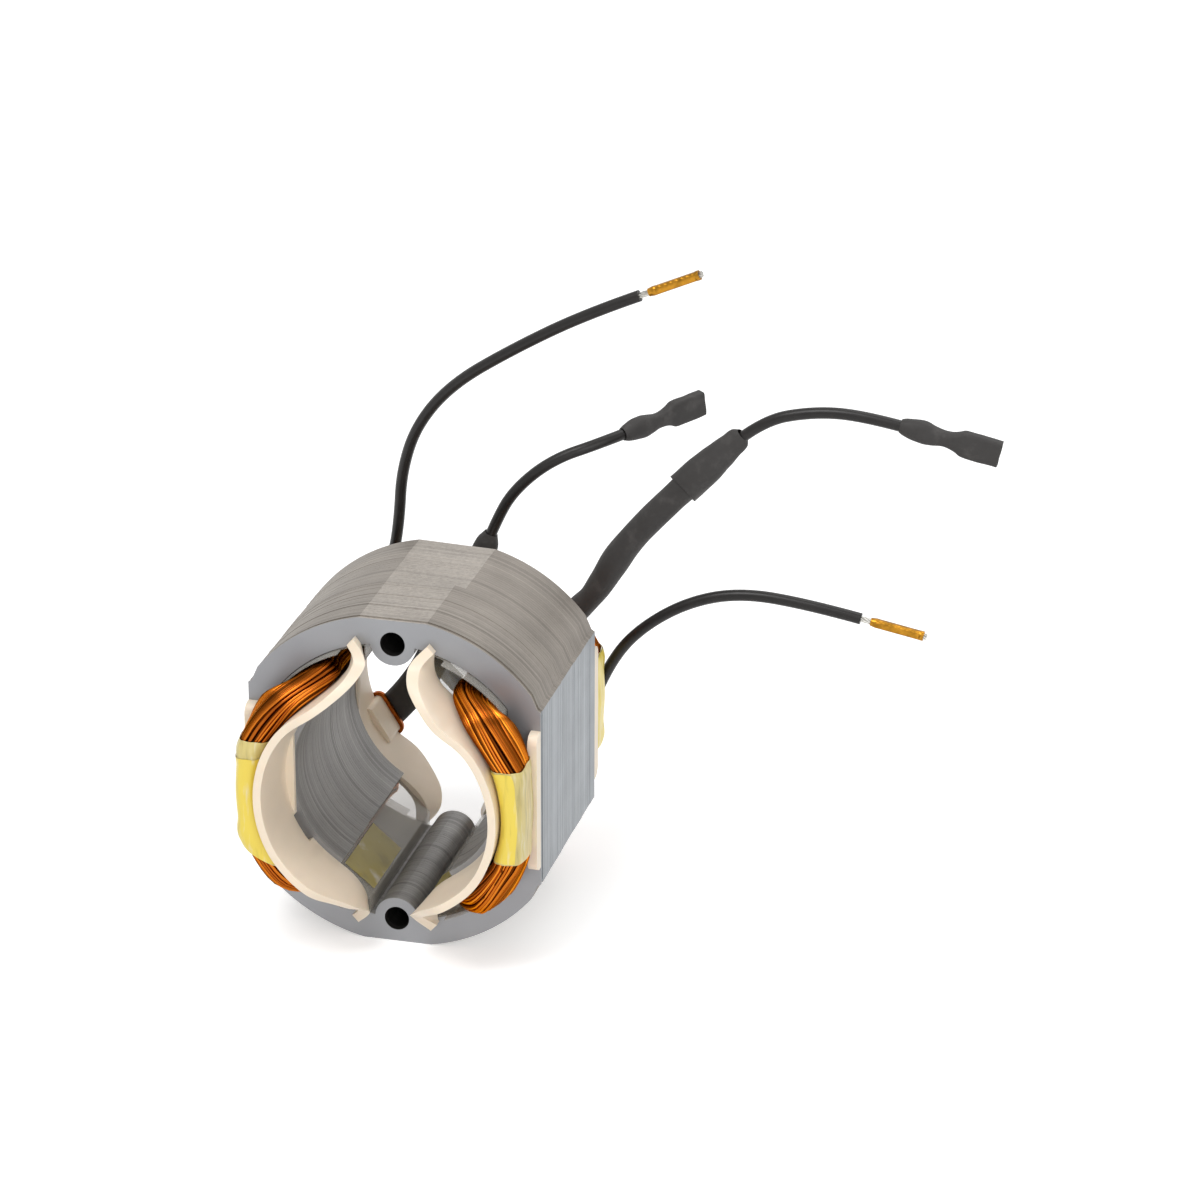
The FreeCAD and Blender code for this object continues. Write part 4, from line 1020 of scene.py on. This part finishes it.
def terminal_sleeve_parts(start, direction, seed):
    """Shrink tubing on a receptacle: tight on the crimp, waisted, then square over the box."""
    wide, deep = upright_frame(direction)
    places, *columns = zip(*TERMINAL_STATIONS)
    around, steps = 56, 74
    wall = 0.42

    def ring(share, inset):
        half_width, half_depth, squareness, shift = (
            smooth_through(column, places, share) for column in columns)
        points = []
        for number in range(around):
            first, second = squarish(2 * math.pi * number / around, squareness)
            bump = 0.1 * bumps(first * 1.4, second * 1.4, share * 9 + seed) - inset
            ragged = 0.25 * bumps(first, second, seed + 4) * (share > 0.99)
            points.append(start + direction * (share * TERMINAL_LENGTH + ragged)
                          + wide * (first * (half_width + bump) + shift)
                          + deep * (second * (half_depth + bump)))
        return points

    outside = [ring(step / steps, 0.0) for step in range(steps + 1)]
    mouth = [ring(1 - 0.06 * step, wall) for step in range(6)]
    return [(*skin([ring(0.0, 0.16)] + outside + mouth), 0)]


# Stage

def white_to_camera(tree, lit, white, output):
    """Show white to the camera, to metal and to glass, and keep the lit shader for the rest."""
    light = add_node(tree, "LightPath")
    seen = light.outputs["Is Camera Ray"]
    for ray in ("Is Glossy Ray", "Is Transmission Ray"):
        seen = add_node(tree, "Math", {0: seen, 1: light.outputs[ray]}, operation="MAXIMUM")
    add_node(tree, "MixShader", {"Fac": seen, 1: lit, 2: white},
             to=tree.nodes[output].inputs["Surface"])


class STATOR_OT_stage(bpy.types.Operator):
    """Add the camera, the pale floor and the soft light"""

    bl_idname = "stator.stage"
    bl_label = "Stage"

    def execute(self, context):
        scene = context.scene
        scene.view_settings.view_transform = "Standard"
        matrix = Matrix.Translation(CAMERA_TARGET)
        for degrees, axis in ((CAMERA_AZIMUTH, "Z"), (90 - CAMERA_ELEVATION, "X"),
                              (CAMERA_ROLL, "Z")):
            matrix @= Matrix.Rotation(math.radians(degrees), 4, axis)
        data = bpy.data.cameras.new("camera")
        data.sensor_fit = "HORIZONTAL"
        data.sensor_width = 36
        data.lens = CAMERA_LENS
        scene.camera = linked("camera", data)
        scene.camera.matrix_world = matrix @ Matrix.Translation((0, 0, CAMERA_DISTANCE))

        # Soft square lamps that face the object
        for name, place, size, power in LAMPS:
            data = bpy.data.lights.new(name, "AREA")
            data.size = size
            data.energy = power
            lamp = linked(name, data)
            lamp.location = place
            lamp.rotation_euler = (-Vector(place)).to_track_quat("-Z", "Y").to_euler()

        scene.world = bpy.data.worlds.new("studio")
        scene.world.use_nodes = True
        tree = scene.world.node_tree
        lit = tree.nodes["Background"]
        lit.inputs["Color"].default_value = (1, 1, 1, 1)
        lit.inputs["Strength"].default_value = 0.45
        white = add_node(tree, "Background", {"Color": (1, 1, 1, 1), "Strength": 1.0})
        white_to_camera(tree, lit, white, "World Output")

        # White lacquered board: a soft shadow under the part and nothing else
        material, tree, shader = new_material("white_board", Roughness=0.9,
                                              Base_Color=(0.9, 0.9, 0.9, 1))
        glow = add_node(tree, "Emission", {"Color": (1, 1, 1, 1), "Strength": 0.4})
        both = add_node(tree, "AddShader", {0: shader, 1: glow})
        white_to_camera(tree, shader, both, "Material Output")
        mesh = bpy.data.meshes.new("floor")
        reach = 6.0
        mesh.from_pydata([(x * reach, y * reach, CAD_BOX[0][2])
                          for x, y in ((-1, -1), (1, -1), (1, 1), (-1, 1))], [], [(0, 1, 2, 3)])
        mesh.materials.append(material)
        floor = linked("floor", mesh)
        return {"FINISHED"}


def dress(node, material):
    """Give a CAD node's mesh another material."""
    node.data.materials.clear()
    node.data.materials.append(material)


class STATOR_OT_leads(bpy.types.Operator):
    """Add the four leads with their ferrules and sleeved receptacles"""

    bl_idname = "stator.leads"
    bl_label = "Leads"

    def execute(self, context):
        sizes = context.scene.stator_sizes
        colours = context.scene.stator_colours
        rubber = lead_rubber(colours.insulation)
        brass = drawn_brass(colours.brass)
        tinned = tinned_copper(colours.tinned)
        sleeve = shrink_tube(colours.shrink)
        for letter, route in LEAD_ROUTES.items():
            lead = "lead_%s_" % letter
            wire = cord_curve("lead_%s" % letter, route, sizes.lead, rubber)
            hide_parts(lead + "wire")
            last = Vector(route[-1]) / MM
            direction = (last - Vector(route[-2]) / MM).normalized()
            if letter in "ad":
                run = STRAND_NECK + FERRULE_LENGTH + STRAND_STUB
                strands = make_object(
                    lead + "tinned_strands", strand_parts(last, direction, run, 0.75),
                    [tinned], 40, [lead + "strands"])
                ferrule = make_object(
                    lead + "crimped_ferrule",
                    ferrule_parts(last + direction * STRAND_NECK, direction, FERRULE_LENGTH, 1.2),
                    [brass], 40, [lead + "ferrule"])
            else:
                start = last - direction * TERMINAL_COVER
                cover = make_object(
                    lead + "shrunk_sleeve", terminal_sleeve_parts(start, direction, ord(letter)),
                    [sleeve], 50, [lead + "terminal_sleeve"])
                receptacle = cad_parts[lead + "receptacle"]
                dress(receptacle, brass)
        return {"FINISHED"}


class STATOR_OT_sleeves(bpy.types.Operator):
    """Add the shrink tubing over the splices of the two middle leads"""

    bl_idname = "stator.sleeves"
    bl_label = "Splice sleeves"

    def execute(self, context):
        sleeve = shrink_tube(context.scene.stator_colours.shrink)
        spacing = 0.7
        mouth_reach = 2.6

        def flat_outline(share, turn):
            width, depth = (smooth_through(values, [0, 0.3, 0.6, 0.85, 0.95, 1], share)
                            for values in ([4.1, 4.2, 3.9, 3.3, 2.9, 1.7],
                                           [1.9, 1.9, 1.9, 1.8, 1.8, 1.6]))
            first, second = squarish(turn, 2.4)
            bump = 0.12 * bumps(first, second, share * 7)
            # The mouth reaches down to the wire round the post
            slide = -mouth_reach * max(1 - share / 0.06, 0)
            return first * (width + bump), second * (depth + bump), slide

        def round_outline(share, turn):
            fold = hill(share, 0.2, 0.05) * (1 + math.cos(turn - 0.5)) / 2
            first, second = squarish(turn, 2.2)
            radius = (3.1 + 0.35 * share + 0.35 * hill(share, 0.42, 0.09) - 0.35 * fold
                      + 0.14 * bumps(first, second, share * 8 + 5))
            return first * radius, second * radius, 0.0

        def splice_tube(name, letter, first_side, outline, node):
            line = smooth_line(SLEEVE_ROUTES[letter], spacing)
            rings = tube_rings(line, Vector(first_side), 48, outline)
            inner = [drawn_in(rings[index], line[index], share)
                     for index, share in ((-1, 0.86), (-3, 0.84), (-6, 0.82))]
            return line, make_object(name, [(*skin(rings + inner), 0)], [sleeve], 60,
                                     [node])

        line, piece = splice_tube("lead_b_splice_tube", "b", (1, 0, 0), flat_outline,
                                  "lead_b_splice_sleeve")

        inner_line, inner = splice_tube("lead_c_inner_tube", "c", (0, 0, 1), round_outline,
                                        "lead_c_inner_sleeve")
        start = Vector(LEAD_ROUTES["c"][0]) / MM
        direction = (Vector(LEAD_ROUTES["c"][1]) / MM - start).normalized()
        wide, deep = upright_frame(direction)
        mouth = start - direction * OUTER_SLEEVE_BEFORE

        def outer_outline(share, turn):
            width, depth = (smooth_through(values, [0, 0.35, 0.62, 0.8, 0.94, 1], share)
                            for values in ([4.2, 4.1, 3.6, 3.1, 2.8, 1.7],
                                           [4.2, 4.0, 3.2, 2.3, 1.8, 1.6]))
            first, second = squarish(turn, 2.1)
            bump = 0.1 * bumps(first, second, share * 6 + 3)
            first *= width + bump
            second *= depth + bump
            # The mouth is cut at a slant, further back on the front side
            slant = -0.5 * (wide * first + deep * second).y * max(1 - share / 0.2, 0)
            return first, second, slant

        rings = tube_rings(straight_line(mouth, direction, OUTER_SLEEVE_LENGTH, 60), wide, 56,
                           outer_outline)
        lip = [drawn_in(rings[0], mouth, 0.9, direction * shift) for shift in (6, 3, 0)]
        outer = make_object("lead_c_outer_tube", [(*skin(lip + rings), 0)], [sleeve],
                            60, ["lead_c_outer_sleeve"])
        return {"FINISHED"}


class STATOR_OT_stack(bpy.types.Operator):
    """Add the lamination stack as single punched sheets"""

    bl_idname = "stator.stack"
    bl_label = "Lamination stack"

    def execute(self, context):
        sizes = context.scene.stator_sizes
        colours = context.scene.stator_colours
        materials = [rolled_sheet(colours.sheet_face),
                     punched_edges("punched_sheet_edges", colours.cut_edge, 0.38, 0.05),
                     punched_edges("ground_sheet_edges", colours.ground_flat, 0.25, 0.16),
                     # The side flats have fewer specks, and their lighter blue-grey is painted
                     # sheen
                     punched_edges("smooth_sheet_edges_painted_sheen", colours.side_flat, 0.3, 0.02),
                     punched_edges("bore_sheet_edges", colours.bore, 0.45, 0.04),
                     # The bolt holes' edges are painted near black as their shade
                     punched_edges("bolt_hole_edges_painted_shade", colours.bolt_hole_shade, 0.9, 0.1)]
        make_object("pressed_laminations", stack_parts(sizes.sheet / MM, sizes.misfit / MM),
                    materials, 25, ["lamination_stack"])
        return {"FINISHED"}


class STATOR_OT_formers(bpy.types.Operator):
    """Give the moulded end formers their plastic and their rounded edges"""

    bl_idname = "stator.formers"
    bl_label = "End formers"

    def execute(self, context):
        plastic = moulded_plastic(context.scene.stator_colours.former)
        for place in HALF_TURNS:
            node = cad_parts["end_former_" + place]
            dress(node, plastic)
            weld = node.modifiers.new("weld", "WELD")
            weld.merge_threshold = 0.00001
            bevel = node.modifiers.new("moulded edges", "BEVEL")
            bevel.width = context.scene.stator_sizes.edge
            bevel.segments = 3
            bevel.limit_method = "ANGLE"
            bevel.angle_limit = math.radians(38)
            bevel.harden_normals = True
        return {"FINISHED"}


class STATOR_OT_coils(bpy.types.Operator):
    """Add the field coils turn by turn, and the wire round the posts"""

    bl_idname = "stator.coils"
    bl_label = "Field coils"

    def execute(self, context):
        colours = context.scene.stator_colours
        copper = enamelled_copper(colours.copper)
        on_post = post_wire(colours.copper)
        wire = context.scene.stator_sizes.magnet_wire / MM
        # The left-hand coil fills its upper slot further than the other
        for side, signs, spread, seed in (("right", (1, 1, 1), 0.0, 3),
                                          ("left", (-1, 1, -1), 2.6, 4)):
            parts, tones = winding_parts(wire, signs, spread, seed)
            coil = make_object("wound_coil_" + side, parts, [copper], None,
                               ["field_coil_" + side])
            # Each point's tone holds the turn's own tone and painted shade
            tone = coil.data.attributes.new("turn_tone_and_shade", "FLOAT", "POINT")
            tone.data.foreach_set("value", tones)
            dress(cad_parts["post_turn_" + side], on_post)
        return {"FINISHED"}


class STATOR_OT_tapes(bpy.types.Operator):
    """Add the tape round the end windings and on the slot films"""

    bl_idname = "stator.tapes"
    bl_label = "Tapes"

    def execute(self, context):
        colours = context.scene.stator_colours
        thin = polyester_tape("single_polyester_tape", colours.thin_tape, 0.2, 1.3)
        double = polyester_tape("doubled_polyester_tape", colours.tape, 0.02, 1.6)
        on_film = polyester_tape("slot_polyester_tape", colours.slot_tape, 0.12, 5.0)
        grow = context.scene.stator_sizes.tape / MM
        for seed, (place, signs) in enumerate(HALF_TURNS.items(), 20):
            make_object("wrapped_tape_" + place, tape_parts(place, signs, grow, seed),
                        [thin, double], 60, ["end_tape_" + place])
        # Insets from the stack's end at the pole tip and at the yoke, and each strip's run
        for place, signs, insets in (
                ("lower_left", (-1, 1, -1), (2.5, 4.3, 22.4)),
                ("lower_right", (1, 1, -1), (4.75, 7.75, 7.5)),
                ("upper_right", (1, 1, 1), (3.25, 3.25, 9.0))):
            make_object("slot_patch_" + place, patch_parts(signs, *insets, insets[0]),
                        [on_film], 60, ["slot_tape_" + place])
        return {"FINISHED"}


class STATOR_OT_films(bpy.types.Operator):
    """Give the slot liners their clear film"""

    bl_idname = "stator.films"
    bl_label = "Slot films"

    def execute(self, context):
        film = polyester_film(context.scene.stator_colours.film)
        for name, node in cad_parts.items():
            if name.startswith("slot_liner"):
                dress(node, film)
        return {"FINISHED"}


OPERATORS = [STATOR_OT_stage, STATOR_OT_leads, STATOR_OT_sleeves, STATOR_OT_stack,
             STATOR_OT_formers, STATOR_OT_coils, STATOR_OT_tapes, STATOR_OT_films]


class STATOR_PT_pieces(bpy.types.Panel):
    """The stator's pieces, sizes and colours"""

    bl_idname = "STATOR_PT_pieces"
    bl_label = "Stator"
    bl_space_type = "VIEW_3D"
    bl_region_type = "UI"
    bl_category = "Stator"

    def draw(self, context):
        for operator in OPERATORS:
            self.layout.operator(operator.bl_idname)
        for group in (context.scene.stator_sizes, context.scene.stator_colours):
            column = self.layout.column()
            for name in group.__annotations__:
                column.prop(group, name)


CLASSES = [StatorSizes, StatorColours, *OPERATORS, STATOR_PT_pieces]


def register():
    for item in CLASSES:
        bpy.utils.register_class(item)
    bpy.types.Scene.stator_sizes = bpy.props.PointerProperty(type=StatorSizes)
    bpy.types.Scene.stator_colours = bpy.props.PointerProperty(type=StatorColours)


def unregister():
    del bpy.types.Scene.stator_colours
    del bpy.types.Scene.stator_sizes
    for item in reversed(CLASSES):
        bpy.utils.unregister_class(item)


def main():
    """Build every piece."""
    register()
    for operator in OPERATORS:
        getattr(bpy.ops.stator, operator.bl_idname.split(".")[1])()


if __name__ == "__main__":
    main()
